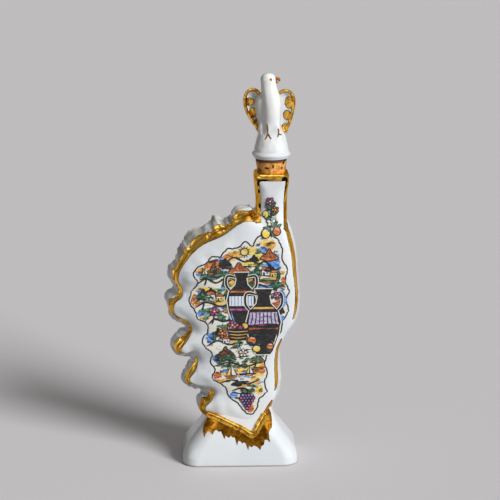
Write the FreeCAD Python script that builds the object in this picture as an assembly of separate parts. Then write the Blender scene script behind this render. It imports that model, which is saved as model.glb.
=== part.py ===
"""Porcelain liqueur bottle with a corked dove stopper.

Millimetres, +Z up, front towards -Y. The origin is the middle of the foot on the ground.
The flask is cast in two halves that meet at a ridge round its middle, so its walls lean
outwards from the front and back faces to that ridge. A hollow foot is luted round its
lower end. A tapered cork, glued under a porcelain dove, closes the neck.
"""

import FreeCAD, Part
import math
import os

from FreeCAD import Vector

# Flask
flask_depth = 38.0          # front face to back face
shoulder_depth = 2.5        # how far the rounded edge of each face reaches back
shoulder_inset = 2.6        # how far that edge draws the face in
porcelain_wall = 3.5        # cast wall of flask and foot
cavity_margin = 1.2 * porcelain_wall    # square to the outline, since the walls lean

# Neck
neck_x = 21.7               # axis of the neck, from the middle of the foot
mouth_z = 209.0             # height of the mouth
mouth_wall = 2.7            # beside the cork at the mouth
neck_waist_drop = 21.0      # from the mouth down to where the tube is narrowest
neck_root_z = 152.0         # where the tube has run into the flask
neck_levels = (0.0, 0.3, 0.5, 0.7, 0.85, 1.0)   # sections from there to the waist
neck_corner = 4.0           # corner radius of the tube
lip_round = 1.0             # rounding of the mouth's edge
bore_step = 0.5             # how much the pouring bore is narrower than the cork's end
bore_reach = 10.0           # how far the bore runs into the cavity

# Foot
foot_width = 84.0
foot_depth = 50.0
foot_corner = 8.0
foot_height = 42.0
foot_rim_round = 1.5        # height of the rim's rounding
foot_rim_draw = 1.05        # how far that rounding draws the rim in
# Share of the foot's height, then shares of its width and depth lost there
foot_taper = [
    (0.19, 0.019, 0.02),
    (0.33, 0.088, 0.07),
    (0.48, 0.203, 0.14),
    (0.62, 0.321, 0.20),
    (0.81, 0.417, 0.27),
    (1.00, 0.465, 0.32),
]

# Every cutting tool runs this far past the face that it opens
overshoot = 1.0

# Seam beads, where the flask's lower edge comes out of the foot
bead_radius = 2.3

# Printed transfer and gilding, fired onto the glaze
film_thickness = 0.12
transfer_margin = 6.5       # from the edge of the front face
gilt_strip_width = 3.6      # along each corner of the neck
gilt_band_height = 5.0      # round the mouth
gilt_low_z = 179.0          # lower end of the strips

# Stopper
cork_mouth_diameter = 19.0  # where it enters the mouth
cork_spread = 3.0           # how much wider it is at its top
cork_show = 9.0             # height of cork above the mouth
cork_insert = 10.5          # length of cork inside the neck
cork_fit = 0.10             # clearance to the bore, all round
peg_diameter = 8.0
peg_length = 9.0
peg_fit = 0.15              # clearance round the peg
peg_room = 0.5              # and under its end
glue_thickness = 0.6
glue_margin = 0.8           # how far the glue stays inside the cork's edge
mound_seat = 0.4            # how far the mound's flat seat stays inside the cork's edge
mound_overhang = 2.5        # how far the mound's rim stands out from the cork
mound_waist_ledge = 0.5     # and its waist from the bird's foot
mound_height = 17.0
dove_height = 60.0          # from the underside of the mound to the crown
wing_thickness = 2.6
wing_sweep = 22.0           # degrees that each wing turns back
wing_set_back = 1.5         # its root, behind the bird's axis
wing_set_up = 1.5           # and above the waist of the mound

# Outline of the flask, anticlockwise from the left of the neck as seen from the front.
# Each row: x and z on the front and back edge, x and z on the ridge, and whether the
# cavity follows it. Casting slip fills the narrow lobes, so the cavity skips those.
outline = [
    (11.6, 175.6, 9.5, 182.6, False),
    (4.5, 177.0, 2.5, 184.6, True),
    (-1.5, 174.8, -3.8, 182.6, False),
    (-7.5, 170.5, -7.5, 176.2, True),
    (-12.5, 167.0, -12.5, 174.9, False),
    (-17.0, 164.7, -18.8, 177.0, False),
    (-21.5, 162.8, -22.4, 171.5, True),
    (-26.0, 160.5, -29.0, 169.0, False),
    (-30.5, 157.0, -36.6, 165.3, False),
    (-34.0, 153.5, -39.2, 160.0, True),
    (-37.5, 149.0, -43.8, 152.8, False),
    (-40.5, 144.8, -45.2, 146.0, True),
    (-43.2, 138.5, -51.3, 139.0, False),
    (-43.4, 133.2, -50.0, 133.8, False),
    (-40.8, 128.0, -46.9, 127.0, True),
    (-41.2, 122.8, -50.8, 123.2, True),
    (-46.3, 117.5, -53.3, 118.8, True),
    (-46.6, 111.0, -51.5, 111.5, False),
    (-41.5, 106.8, -49.0, 105.0, False),
    (-36.4, 103.8, -43.5, 100.4, True),
    (-34.5, 98.0, -38.8, 97.8, True),
    (-37.5, 91.0, -44.0, 93.6, True),
    (-42.0, 83.5, -49.0, 86.3, False),
    (-38.5, 81.4, -46.0, 78.0, False),
    (-33.2, 82.6, -40.5, 75.6, False),
    (-30.6, 77.5, -35.2, 74.6, True),
    (-31.6, 69.5, -37.8, 68.6, True),
    (-36.3, 61.5, -42.2, 60.0, False),
    (-32.5, 58.6, -39.2, 54.6, False),
    (-25.5, 56.4, -33.0, 51.6, False),
    (-19.0, 53.0, -28.6, 49.0, True),
    (-20.6, 46.8, -31.0, 44.0, True),
    (-25.5, 39.8, -30.5, 38.0, False),
    (-20.5, 36.6, -25.5, 31.5, False),
    (-8.1, 31.8, -11.0, 28.0, True),
    (1.0, 27.5, 0.5, 24.0, True),
    (9.0, 23.8, 10.0, 20.5, False),
    (13.0, 31.0, 16.0, 28.5, True),
    (18.5, 40.0, 23.0, 37.0, True),
    (23.7, 48.5, 27.8, 47.5, False),
    (25.2, 58.0, 29.4, 58.5, True),
    (24.8, 72.0, 28.5, 73.0, False),
    (26.0, 84.5, 28.9, 83.2, True),
    (31.0, 94.8, 35.0, 92.5, False),
    (36.4, 103.5, 40.3, 102.0, True),
    (38.7, 116.0, 42.3, 117.0, False),
    (39.0, 128.0, 41.8, 127.5, True),
    (37.6, 140.0, 40.7, 140.0, True),
    (36.4, 152.0, 39.8, 151.5, False),
    (33.9, 163.5, 37.0, 164.5, True),
    (30.8, 172.0, 33.4, 173.5, False),
    (26.0, 171.0, 27.5, 179.0, False),
    (18.0, 171.5, 18.0, 181.5, True),
]

# Where the seam bead runs, as x and z along the flask's lower edge
bead_path = [
    (-25.0, 38.6),
    (-17.0, 35.4),
    (-8.1, 31.2),
    (1.0, 26.8),
    (8.6, 23.2),
    (13.4, 30.6),
    (18.2, 38.6),
]

# Wing outline, from the top of its root outwards and down, off the middle of the body
wing_outline = [
    (4.5, 26.0),
    (9.5, 31.5),
    (14.4, 30.5),
    (18.3, 24.6),
    (17.6, 16.6),
    (13.4, 8.4),
    (8.6, 1.2),
    (4.5, 5.0),
]

# Rolled rim of the mound, as how far in from its widest and how far above its underside
mound_rim = [(0.9, 1.1), (0.0, 2.4), (0.5, 3.6)]

# Flare above the rim, as shares of the way in to the waist and of the mound's height
mound_flare = [(0.32, 0.40), (0.66, 0.66), (0.90, 0.86), (1.0, 1.0)]

# Dove, as height above the waist of the mound, then half width, half depth and lean
dove_sections = [
    (0.0, 8.8, 8.2, 0.0),
    (5.0, 8.2, 7.8, 0.0),
    (11.0, 8.7, 8.8, 0.3),
    (18.0, 9.2, 9.4, 0.2),
    (24.0, 9.0, 8.8, -0.4),
    (29.0, 7.3, 7.2, -0.9),
    (33.0, 5.6, 5.9, -1.2),
    (37.0, 5.0, 5.6, -1.4),
]
dove_offset = -1.8          # the bird stands a little left of the neck's axis
dove_offset_height = 15.0   # and is fully there this far above the mound's waist
head_radius = 5.1
head_sink = 1.9             # how far the head sinks into the top section
beak_length = 4.2
beak_radii = (1.5, 0.4)     # at its root and its tip
beak_root = (4.1, -0.5, 0.4)        # from the middle of the head
beak_line = (1.0, -0.15, -0.25)     # where it points
tail_root = (4.0, 13.0)     # how far behind the bird's axis, and above the waist
tail_reach = 10.4           # from its root, backwards
tail_fall = 8.1             # and down
tail_sections = [(0.0, 4.0, 2.4), (0.5, 4.6, 1.9), (1.0, 5.6, 1.4)]   # share, half width, half depth

# Sizes that follow from the ones above
cork_top_diameter = cork_mouth_diameter + cork_spread
cork_end_diameter = cork_mouth_diameter - cork_spread * cork_insert / cork_show
bore_diameter = cork_end_diameter - bore_step
neck_waist_width = bore_diameter + 2 * porcelain_wall
neck_mouth_width = cork_mouth_diameter + 2 * mouth_wall
neck_waist_z = mouth_z - neck_waist_drop
neck_root_depth = flask_depth - 0.2
mound_rim_diameter = cork_top_diameter + 2 * mound_overhang
mound_waist_diameter = 2 * (dove_sections[0][1] + mound_waist_ledge)
mound_base_z = mouth_z + cork_show + glue_thickness
dove_base_z = mound_base_z + mound_height


def closed_spline(points, y):
    """Wire of a smooth closed curve through (x, z) points at depth y."""
    corners = [Vector(x, y, z) for x, z in points]
    return Part.Wire([edge.toShape() for edge in smooth_edges(corners)])


def smooth_edges(corners):
    """One curve from each point of a loop to the next, in line with its neighbours."""
    edges = []
    for i, start in enumerate(corners):
        end = corners[(i + 1) % len(corners)]
        after = corners[(i + 2) % len(corners)]
        pull = (end - start).Length / 3
        leave = (end - corners[i - 1]).normalize() * pull
        arrive = (after - start).normalize() * pull
        edge = Part.BezierCurve()
        edge.setPoles([start, start + leave, end - arrive, end])
        edges.append(edge)
    return edges


def inset(points, distance):
    """Each point of an anticlockwise outline moved inwards, square to its neighbours."""
    moved = []
    for i, (x, z) in enumerate(points):
        before = points[i - 1]
        after = points[(i + 1) % len(points)]
        run_x = after[0] - before[0]
        run_z = after[1] - before[1]
        length = math.hypot(run_x, run_z)
        moved.append((x - distance * run_z / length, z + distance * run_x / length))
    return moved


def rounded_rectangle(width, depth, corner, z, centre_x=0.0):
    """Wire of four straight sides and four corner arcs, level at height z."""
    half_x = width / 2
    half_y = depth / 2
    diagonal = corner * (1 - math.sqrt(0.5))
    edges = []
    for sx, sy, turn in ((1, -1, 1), (1, 1, -1), (-1, 1, 1), (-1, -1, -1)):
        on_x = Vector(centre_x + sx * half_x, sy * (half_y - corner), z)
        on_y = Vector(centre_x + sx * (half_x - corner), sy * half_y, z)
        middle = Vector(centre_x + sx * (half_x - diagonal), sy * (half_y - diagonal), z)
        first, last = (on_y, on_x) if turn == 1 else (on_x, on_y)
        edges.append((first, middle, last))
    shapes = []
    for i, (first, middle, last) in enumerate(edges):
        shapes.append(Part.Arc(first, middle, last).toShape())
        shapes.append(Part.LineSegment(last, edges[(i + 1) % 4][0]).toShape())
    return Part.Wire(shapes)


def ellipse_wire(centre, half_x, half_y):
    """Wire of a level ellipse, whichever of its two radii is the larger."""
    if half_x >= half_y:
        curve = Part.Ellipse(centre, half_x, half_y)
    else:
        curve = Part.Ellipse(centre + Vector(0, half_y, 0), centre + Vector(half_x, 0, 0), centre)
    return Part.Wire(curve.toShape())


def revolve(profile, axis_x):
    """Solid turned about a vertical axis from (radius, z) points."""
    corners = [Vector(axis_x + r, 0, z) for r, z in profile]
    face = Part.Face(Part.makePolygon(corners + corners[:1]))
    return face.revolve(Vector(axis_x, 0, 0), Vector(0, 0, 1), 360)


def foot_level(z, inward=0.0):
    """Width and depth of the foot at height z, with its wall taken off when asked."""
    levels = [(0.0, 0.0, 0.0)] + foot_taper
    share = z / foot_height
    for (low, wide_a, deep_a), (high, wide_b, deep_b) in zip(levels, levels[1:]):
        if share <= high:
            break
    blend = (share - low) / (high - low)
    width = foot_width * (1 - wide_a - (wide_b - wide_a) * blend) - 2 * inward
    depth = foot_depth * (1 - deep_a - (deep_b - deep_a) * blend) - 2 * inward
    return width, depth


def foot_solid(inward, top):
    """The foot's form, or its hollow when a wall is taken off and it ends lower."""
    corner = foot_corner - inward / 2
    wires = []
    heights = [0.0]
    if not inward:
        rim_width = foot_width - 2 * foot_rim_draw
        rim_depth = foot_depth - 2 * foot_rim_draw
        wires.append(rounded_rectangle(rim_width, rim_depth, corner, 0.0))
        heights = [foot_rim_round]
    levels = [row[0] * foot_height for row in foot_taper]
    heights += [z for z in levels if z < top - overshoot]
    heights.append(top)
    for z in heights:
        width, depth = foot_level(z, inward)
        wires.append(rounded_rectangle(width, depth, corner, z))
    return Part.makeLoft(wires, True, True)


def make_flask_form():
    """Outer form of the flask, without the neck."""
    half = flask_depth / 2
    edge = [row[:2] for row in outline]
    ridge = [row[2:4] for row in outline]
    face = inset(edge, shoulder_inset)
    wires = [
        closed_spline(face, -half),
        closed_spline(edge, -half + shoulder_depth),
        closed_spline(ridge, 0.0),
        closed_spline(edge, half - shoulder_depth),
        closed_spline(face, half),
    ]
    return Part.makeLoft(wires, True, True)


def make_neck_form(grown=0.0):
    """Outer form of the neck, from inside the flask up to the mouth."""
    rows = []
    for share in neck_levels:
        swell = (1 + math.cos(math.pi * share)) / 2
        depth = neck_waist_width + (neck_root_depth - neck_waist_width) * swell
        rows.append((neck_waist_width, depth, neck_root_z + (neck_waist_z - neck_root_z) * share))
    lip = neck_mouth_width - 2 * lip_round
    rows.append((neck_mouth_width, neck_mouth_width, mouth_z - lip_round))
    rows.append((lip, lip, mouth_z))
    corner = neck_corner + grown
    wires = []
    for wide, deep, z in rows:
        wires.append(rounded_rectangle(wide + 2 * grown, deep + 2 * grown, corner, z, neck_x))
    return Part.makeLoft(wires, True, True)


def followed(points):
    """The points of the flask's outline that its cavity and its print keep to."""
    return [point for point, row in zip(points, outline) if row[4]]


def make_cavity():
    """Hollow of the flask."""
    edge = followed(inset([row[:2] for row in outline], cavity_margin))
    ridge = followed(inset([row[2:4] for row in outline], cavity_margin))
    reach = flask_depth / 2 - porcelain_wall
    wires = [closed_spline(edge, -reach), closed_spline(ridge, 0.0), closed_spline(edge, reach)]
    return Part.makeLoft(wires, True, True)


def cork_radius(z):
    """Radius of the cork's cone at height z."""
    return (cork_mouth_diameter + cork_spread * (z - mouth_z) / cork_show) / 2


def make_bore():
    """Tapered seat for the cork, and the pouring bore below it."""
    low = mouth_z - cork_insert - overshoot
    high = mouth_z + overshoot
    seat = Part.makeCone(
        cork_radius(low) + cork_fit, cork_radius(high) + cork_fit, high - low, Vector(neck_x, 0, low)
    )
    bore_low = outline[-1][1] - bore_reach
    bore_length = low + overshoot - bore_low
    bore = Part.makeCylinder(bore_diameter / 2, bore_length, Vector(neck_x, 0, bore_low))
    return seat.fuse(bore)


def make_transfer():
    """Printed film on the front face, inside the rounded edge."""
    kept = followed([row[:2] for row in outline])[:-1]
    border = closed_spline(inset(kept, shoulder_inset + transfer_margin), -flask_depth / 2)
    return Part.Face(border).extrude(Vector(0, -film_thickness, 0))


def make_neck_gilding(neck_form, flask_form):
    """Gold film down the four corners of the neck and round its mouth."""
    skin = make_neck_form(film_thickness).cut(neck_form).cut(flask_form)
    reach = flask_depth
    side = neck_waist_width / 2 - gilt_strip_width
    panel_top = mouth_z - gilt_band_height
    front_to_back = Part.makeBox(
        2 * side, 2 * reach, panel_top - neck_root_z, Vector(neck_x - side, -reach, neck_root_z)
    )
    side_to_side = Part.makeBox(
        2 * reach, 2 * side, panel_top - neck_root_z, Vector(neck_x - reach, -side, neck_root_z)
    )
    below = Part.makeBox(
        2 * reach, 2 * reach, gilt_low_z - neck_root_z, Vector(neck_x - reach, -reach, neck_root_z)
    )
    return skin.cut([front_to_back, side_to_side, below])


def capsule(start, end, radius):
    """Round rod from start to end, with a ball at its end."""
    rod = Part.makeCylinder(radius, (end - start).Length, start, end - start)
    return rod.fuse(Part.makeSphere(radius, end))


def make_seam_beads(flask_form, foot_form):
    """Rounded bead on the front seam and its twin on the back seam."""
    points = []
    for x, z in bead_path:
        points.append(Vector(x, -max(foot_level(z)[1], flask_depth - shoulder_depth) / 2, z))
    bead = Part.makeSphere(bead_radius, points[0])
    for start, end in zip(points, points[1:]):
        bead = bead.fuse(capsule(start, end, bead_radius))
    front = bead.cut(flask_form).cut(foot_form)
    front = max(front.Solids, key=lambda solid: solid.Volume)
    back = front.mirror(Vector(0, 0, 0), Vector(0, 1, 0))
    return Part.makeCompound([front, back])


def peg_hole():
    """Room for the finial's peg in the cork and its glue."""
    bottom = mound_base_z - peg_length - peg_room
    length = peg_length + peg_room + overshoot
    return Part.makeCylinder(peg_diameter / 2 + peg_fit, length, Vector(neck_x, 0, bottom))


def make_cork():
    """Tapered cork, from inside the neck up to the glue."""
    bottom = mouth_z - cork_insert
    top = mouth_z + cork_show
    cone = Part.makeCone(cork_radius(bottom), cork_radius(top), top - bottom, Vector(neck_x, 0, bottom))
    return cone.cut(peg_hole())


def make_cork_glue():
    """Ring of glue between the cork and the mound."""
    radius = cork_top_diameter / 2 - glue_margin
    disc = Part.makeCylinder(radius, glue_thickness, Vector(neck_x, 0, mouth_z + cork_show))
    return disc.cut(peg_hole())


def make_finial_mound():
    """Flared mound with a soft rolled rim, and the peg that is glued into the cork."""
    base = mound_base_z
    rim = mound_rim_diameter / 2
    fall = rim - mound_waist_diameter / 2
    profile = [
        (0.0, base - peg_length),
        (peg_diameter / 2, base - peg_length),
        (peg_diameter / 2, base),
        (cork_top_diameter / 2 - mound_seat, base),
    ]
    profile += [(rim - inward, base + up) for inward, up in mound_rim]
    profile += [(rim - fall * inward, base + mound_height * up) for inward, up in mound_flare]
    profile.append((0.0, base + mound_height))
    return revolve(profile, neck_x)


def dove_scale():
    """Ratio of the bird's upright size to the sizes in its section list."""
    listed = dove_sections[-1][0] + 2 * head_radius - head_sink
    return (dove_height - mound_height) / listed


def make_dove_body():
    """Upright bird with its head, beak and a short tail behind."""
    scale = dove_scale()
    middle = neck_x + dove_offset
    wires = []
    for height, half_x, half_y, lean in dove_sections:
        shift = dove_offset * min(height / dove_offset_height, 1.0)
        centre = Vector(neck_x + shift, lean, dove_base_z + height * scale)
        wires.append(ellipse_wire(centre, half_x, half_y))
    body = Part.makeLoft(wires, True, False)
    top_height, _, _, top_lean = dove_sections[-1]
    head_middle = Vector(middle, top_lean, dove_base_z + top_height * scale + head_radius - head_sink)
    head = Part.makeSphere(head_radius, head_middle)
    beak = Part.makeCone(*beak_radii, beak_length, head_middle + Vector(*beak_root), Vector(*beak_line))
    tail_wires = []
    for share, half_x, half_y in tail_sections:
        back = tail_root[0] + share * tail_reach
        height = tail_root[1] * scale - share * tail_fall
        tail_wires.append(ellipse_wire(Vector(middle, back, dove_base_z + height), half_x, half_y))
    tail = Part.makeLoft(tail_wires, True, False)
    return body.fuse([head, beak, tail])


def make_wing(side, body):
    """One raised wing: a rounded plate that leaves the back of the body and turns aside."""
    scale = dove_scale()
    border = closed_spline([(side * x, z * scale) for x, z in wing_outline], 0.0)
    plate = Part.Face(border).extrude(Vector(0, wing_thickness, 0))
    plate.rotate(Vector(side * wing_outline[0][0], 0, 0), Vector(0, 0, 1), side * wing_sweep)
    plate.translate(Vector(neck_x + dove_offset / 2, wing_set_back, dove_base_z + wing_set_up))
    pieces = plate.cut(body).Solids
    return max(pieces, key=lambda solid: solid.Volume)


def write(shape, name):
    """Keep a node's solids as one file."""
    shape.exportStep(f"parts/{name}.step")


os.makedirs("parts", exist_ok=True)

flask_form = make_flask_form()
neck_form = make_neck_form()
cavity = make_cavity()
vessel_form = flask_form.fuse(neck_form)
flask_shell = vessel_form.cut(cavity.fuse(make_bore()))

foot_form = foot_solid(0.0, foot_height)
foot_hollow = foot_solid(porcelain_wall, foot_height - porcelain_wall)
foot_shell = foot_form.cut(foot_hollow).cut(vessel_form)

mound = make_finial_mound()
dove_body = make_dove_body().cut(mound)

write(flask_shell, "flask_shell")
write(foot_shell, "foot_shell")
write(make_seam_beads(vessel_form, foot_form), "seam_beads")
write(make_transfer(), "front_transfer")
write(make_neck_gilding(neck_form, flask_form), "neck_gilding")
write(make_cork(), "cork")
write(make_cork_glue(), "cork_glue")
write(mound, "finial_mound")
write(dove_body, "dove_body")
write(make_wing(-1, dove_body), "wing_left")
write(make_wing(1, dove_body), "wing_right")
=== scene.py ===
"""Looks of a porcelain liqueur bottle with a corked dove stopper.

Lengths are millimetres until a mesh is made, in the frame of the CAD model: +Z up, front
face towards -Y, origin in the middle of the foot on the ground.
"""

import math
import random

import bmesh
import bpy
import numpy as np
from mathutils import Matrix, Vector, noise
from mathutils.bvhtree import BVHTree
from mathutils.geometry import delaunay_2d_cdt
from mathutils.kdtree import KDTree


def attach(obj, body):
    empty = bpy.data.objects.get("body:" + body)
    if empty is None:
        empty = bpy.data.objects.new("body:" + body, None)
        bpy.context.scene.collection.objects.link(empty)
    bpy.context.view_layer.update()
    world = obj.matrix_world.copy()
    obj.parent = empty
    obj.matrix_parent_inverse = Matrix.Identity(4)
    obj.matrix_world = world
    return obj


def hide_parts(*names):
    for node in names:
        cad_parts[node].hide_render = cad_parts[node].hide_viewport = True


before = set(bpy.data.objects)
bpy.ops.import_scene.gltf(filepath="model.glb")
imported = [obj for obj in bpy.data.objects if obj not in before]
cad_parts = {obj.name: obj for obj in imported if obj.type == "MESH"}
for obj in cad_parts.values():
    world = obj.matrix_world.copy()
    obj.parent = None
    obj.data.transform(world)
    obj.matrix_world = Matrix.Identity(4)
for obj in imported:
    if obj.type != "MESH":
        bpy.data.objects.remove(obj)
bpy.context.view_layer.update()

MM = 0.001

# Flask
edge_depth = 16.4           # front edge, from the middle of the flask
face_depth = 19.0           # fullest part of the face
edge_fall = 1.4             # how far the front edge lies back beside the lobes
trough_fall = 2.6           # and how much further in the hollows between them
dent_depth = 0.45           # hand-pressed unevenness of the face beside the lobes
troughs = [                 # x, z, half width and half height of the hollows between the lobes
    (-38.0, 129.0, 12.0, 6.5), (-33.0, 98.0, 11.0, 6.0), (-29.0, 76.5, 10.0, 6.0), (-18.0, 52.5, 9.0, 6.0),
]
ridge_round = 0.22          # how softly the walls turn at the ridge, as a share of their depth
porcelain_wall = 4.2        # from the outline in to the hollow
hollow_depth = 12.0         # of the hollow's flat sides, from the middle of the flask
edge_steps = 12             # points on an edge for each row of the outline
side_shift = 40.0           # sets the unevenness of the back apart from that of the front

# Outline as in the CAD model: x and z on the front and back edge, x and z on the ridge round
# the middle, and 1 where the hollow follows it
outline = np.array([
    (11.6, 175.6, 9.5, 182.6, 0),
    (4.5, 177.0, 2.5, 184.6, 1),
    (-1.5, 174.8, -3.8, 182.6, 0),
    (-7.5, 170.5, -7.5, 176.2, 1),
    (-12.5, 167.0, -12.5, 174.9, 0),
    (-17.0, 164.7, -18.8, 177.0, 0),
    (-21.5, 162.8, -22.4, 171.5, 1),
    (-26.0, 160.5, -29.0, 169.0, 0),
    (-30.5, 157.0, -36.6, 165.3, 0),
    (-34.0, 153.5, -39.2, 160.0, 1),
    (-37.5, 149.0, -43.8, 152.8, 0),
    (-40.5, 144.8, -45.2, 146.0, 1),
    (-43.2, 138.5, -51.3, 139.0, 0),
    (-43.4, 133.2, -50.0, 133.8, 0),
    (-40.8, 128.0, -46.9, 127.0, 1),
    (-41.2, 122.8, -50.8, 123.2, 1),
    (-46.3, 117.5, -53.3, 118.8, 1),
    (-46.6, 111.0, -51.5, 111.5, 0),
    (-41.5, 106.8, -49.0, 105.0, 0),
    (-36.4, 103.8, -43.5, 100.4, 1),
    (-34.5, 98.0, -38.8, 97.8, 1),
    (-37.5, 91.0, -44.0, 93.6, 1),
    (-42.0, 83.5, -49.0, 86.3, 0),
    (-38.5, 81.4, -46.0, 78.0, 0),
    (-33.2, 82.6, -40.5, 75.6, 0),
    (-30.6, 77.5, -35.2, 74.6, 1),
    (-31.6, 69.5, -37.8, 68.6, 1),
    (-36.3, 61.5, -42.2, 60.0, 0),
    (-32.5, 58.6, -39.2, 54.6, 0),
    (-25.5, 56.4, -33.0, 51.6, 0),
    (-19.0, 53.0, -28.6, 49.0, 1),
    (-20.6, 46.8, -31.0, 44.0, 1),
    (-25.5, 39.8, -30.5, 38.0, 0),
    (-20.5, 36.6, -25.5, 31.5, 0),
    (-8.1, 31.8, -11.0, 28.0, 1),
    (1.0, 27.5, 0.5, 24.0, 1),
    (9.0, 23.8, 10.0, 20.5, 0),
    (13.0, 31.0, 16.0, 28.5, 1),
    (18.5, 40.0, 23.0, 37.0, 1),
    (23.7, 48.5, 27.8, 47.5, 0),
    (25.2, 58.0, 29.4, 58.5, 1),
    (24.8, 72.0, 28.5, 73.0, 0),
    (26.0, 84.5, 28.9, 83.2, 1),
    (31.0, 94.8, 35.0, 92.5, 0),
    (36.4, 103.5, 40.3, 102.0, 1),
    (38.7, 116.0, 42.3, 117.0, 0),
    (39.0, 128.0, 41.8, 127.5, 1),
    (37.6, 140.0, 40.7, 140.0, 1),
    (36.4, 152.0, 39.8, 151.5, 0),
    (33.9, 163.5, 37.0, 164.5, 1),
    (30.8, 172.0, 33.4, 173.5, 0),
    (26.0, 171.0, 27.5, 179.0, 0),
    (18.0, 171.5, 18.0, 181.5, 1),
])

# Neck
neck_x = 21.7
mouth_z = 209.0
waist_z = 188.0             # slimmest place
root_z = 152.0              # where the neck has become as deep as the flask
waist_width = 22.0
mouth_width = 24.4
root_depth = 37.4
neck_corner = 9.6           # radius of the corners on the neck
lip_corner = 5.6            # and at the mouth
lip_round = 2.0             # rounding of the lip
bore_profile = [            # height and radius of the bore and of the cork's seat
    (160.0, 7.5), (180.0, 7.5), (198.3, 7.5), (198.4, 7.85), (mouth_z + 2, 9.93),
]

# Gold on the flask: how far it reaches back from the front edge, by outline row
gold_reach = [
    (0, 13.0), (1, 12.0), (2.5, 7.0), (4, 8.5), (5.5, 5.5), (7, 7.5), (9, 6.5), (11.5, 6.5), (12.8, 4.0),
    (13.9, 2.4), (14.4, 3.5), (16, 7.5), (16.8, 4.2), (18, 3.0), (19.5, 2.2), (20.2, 2.8), (22, 7.5),
    (22.5, 3.0), (22.8, -2.0), (24.3, -2.0), (25, 1.8), (27, 7.8), (27.5, 3.0), (27.8, -2.0), (29.4, -2.0),
    (30, 2.2), (31, 6.0), (32, 8.5), (37, 9.0), (38.2, 8.0), (38.9, -2.0), (39.4, -2.0), (40.2, 4.5),
    (42.0, 5.0), (42.9, -2.0), (44.0, -2.0), (44.8, 4.5), (46, 6.0), (50, 6.5), (51, 9.0), (53, 13.0),
]
gold_overlap = [            # how far it comes onto the face, by outline row
    (0, 0.3), (32, 0.3), (33.5, 0.9), (37.5, 1.0), (38.4, 1.5), (45, 1.3), (46, 1.4), (50.2, 1.5),
    (50.9, 0.6), (53, 0.3),
]
wall_gold_z = 182.5         # the gold of the walls ends here
neck_gold_z = 167.0         # and the neck has its own gold from here up
gold_strips = (3.7, 2.8)    # how far it reaches in from the left and the right side of the neck
strip_depth = 8.5           # and in from the front and the back
strip_ends = (175.2, 160.0)         # height at which it ends on the left and on the right
gold_band = 4.9             # round the mouth
no_gold = -3.0              # gold level where there is none
painted_reflection_depth = 4.7           # how far back from the front the painted dark reflections go
painted_reflection_spots = [             # x, z, half width and half height of the painted dark reflections, on the front of the neck
    (30.6, 204.5, 3.0, 4.2), (31.3, 196.5, 2.0, 8.0), (15.0, 205.0, 6.0, 1.0), (12.6, 202.6, 1.5, 2.8),
    (12.8, 196.5, 1.2, 2.2), (13.6, 186.0, 1.4, 2.4),
]

# Foot, with its rows as in the CAD model: share of the height, then shares of width and depth lost
foot_width = 84.0
foot_depth = 50.0
foot_corner = 11.0
foot_height = 42.0
foot_wall = 3.5
foot_trim = 1.6             # taken off the width, as the corners are soft
foot_x = -0.6
foot_taper = np.array([
    (0.00, 0.000, 0.00),
    (0.19, 0.019, 0.02),
    (0.33, 0.088, 0.07),
    (0.48, 0.203, 0.14),
    (0.62, 0.321, 0.20),
    (0.81, 0.417, 0.27),
    (1.00, 0.465, 0.32),
])
foot_rim = [                # height and inset of the rolled rim, from the inside out
    (0.5, 2.8), (0.0, 2.2), (0.0, 1.0), (0.2, 0.5), (0.7, 0.15), (1.5, 0.0),
]
bead_path = [(-25.0, 38.6), (-17.0, 35.4), (-8.1, 31.2), (1.0, 26.8), (8.6, 23.2), (13.4, 30.6), (18.2, 38.6)]
bead_radius = 2.5

# Stopper
cork_low_z = 198.5
cork_top_z = 218.0
cork_radii = (7.75, 11.0)
glue_and_shade_z = 215.9              # glue stain and painted shade under the mound's rim darken the cork above this


def unit(vectors):
    """Each row of an array at length one."""
    return vectors / np.linalg.norm(vectors, axis=1, keepdims=True)


def smooth_loop(points, steps):
    """Closed curve through points, in line with each point's neighbours."""
    points = np.asarray(points, float)
    before = np.roll(points, 1, 0)
    after = np.roll(points, -1, 0)
    beyond = np.roll(points, -2, 0)
    pull = np.linalg.norm(after - points, axis=1, keepdims=True) / 3
    leave = points + unit(after - before) * pull
    arrive = after - unit(beyond - points) * pull
    t = (np.arange(steps) / steps)[None, :, None]
    curve = (1 - t) ** 3 * points[:, None] + 3 * (1 - t) ** 2 * t * leave[:, None]
    curve += 3 * (1 - t) * t * t * arrive[:, None] + t ** 3 * after[:, None]
    return curve.reshape(-1, points.shape[1])


def smooth_path(points, steps):
    """Open curve through points."""
    points = np.asarray(points, float)
    ends = np.vstack([2 * points[:1] - points[1:2], points, 2 * points[-1:] - points[-2:-1]])
    p, q, r, s = ends[:-3, None], ends[1:-2, None], ends[2:-1, None], ends[3:, None]
    t = (np.arange(steps) / steps)[None, :, None]
    bend = (2 * p - 5 * q + 4 * r - s) * t ** 2
    twist = (3 * q - p - 3 * r + s) * t ** 3
    curve = 0.5 * (2 * q + (r - p) * t + bend + twist)
    return np.vstack([curve.reshape(-1, points.shape[1]), points[-1:]])


def ease(value):
    """0 below 0, 1 above 1 and an S curve between."""
    value = np.clip(value, 0.0, 1.0)
    return value * value * (3 - 2 * value)


def band(value, low, rise, high, fall):
    """0 below low and above high, and 1 from a rise above low to a fall below high."""
    return ease((value - low) / rise) * ease((high - value) / fall)


def inside(loop, points):
    """Which of the points lie inside a closed loop."""
    found = np.zeros(len(points), bool)
    for (ax, az), (bx, bz) in zip(loop, np.roll(loop, -1, 0)):
        if az != bz:
            crosses = (az > points[:, 1]) != (bz > points[:, 1])
            found ^= crosses & (points[:, 0] < (bx - ax) * (points[:, 1] - az) / (bz - az) + ax)
    return found


def flat_tree(flat):
    """Search tree of places given as x and z."""
    tree = KDTree(len(flat))
    for index, (x, z) in enumerate(flat):
        tree.insert((x, z, 0.0), index)
    tree.balance()
    return tree


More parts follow.
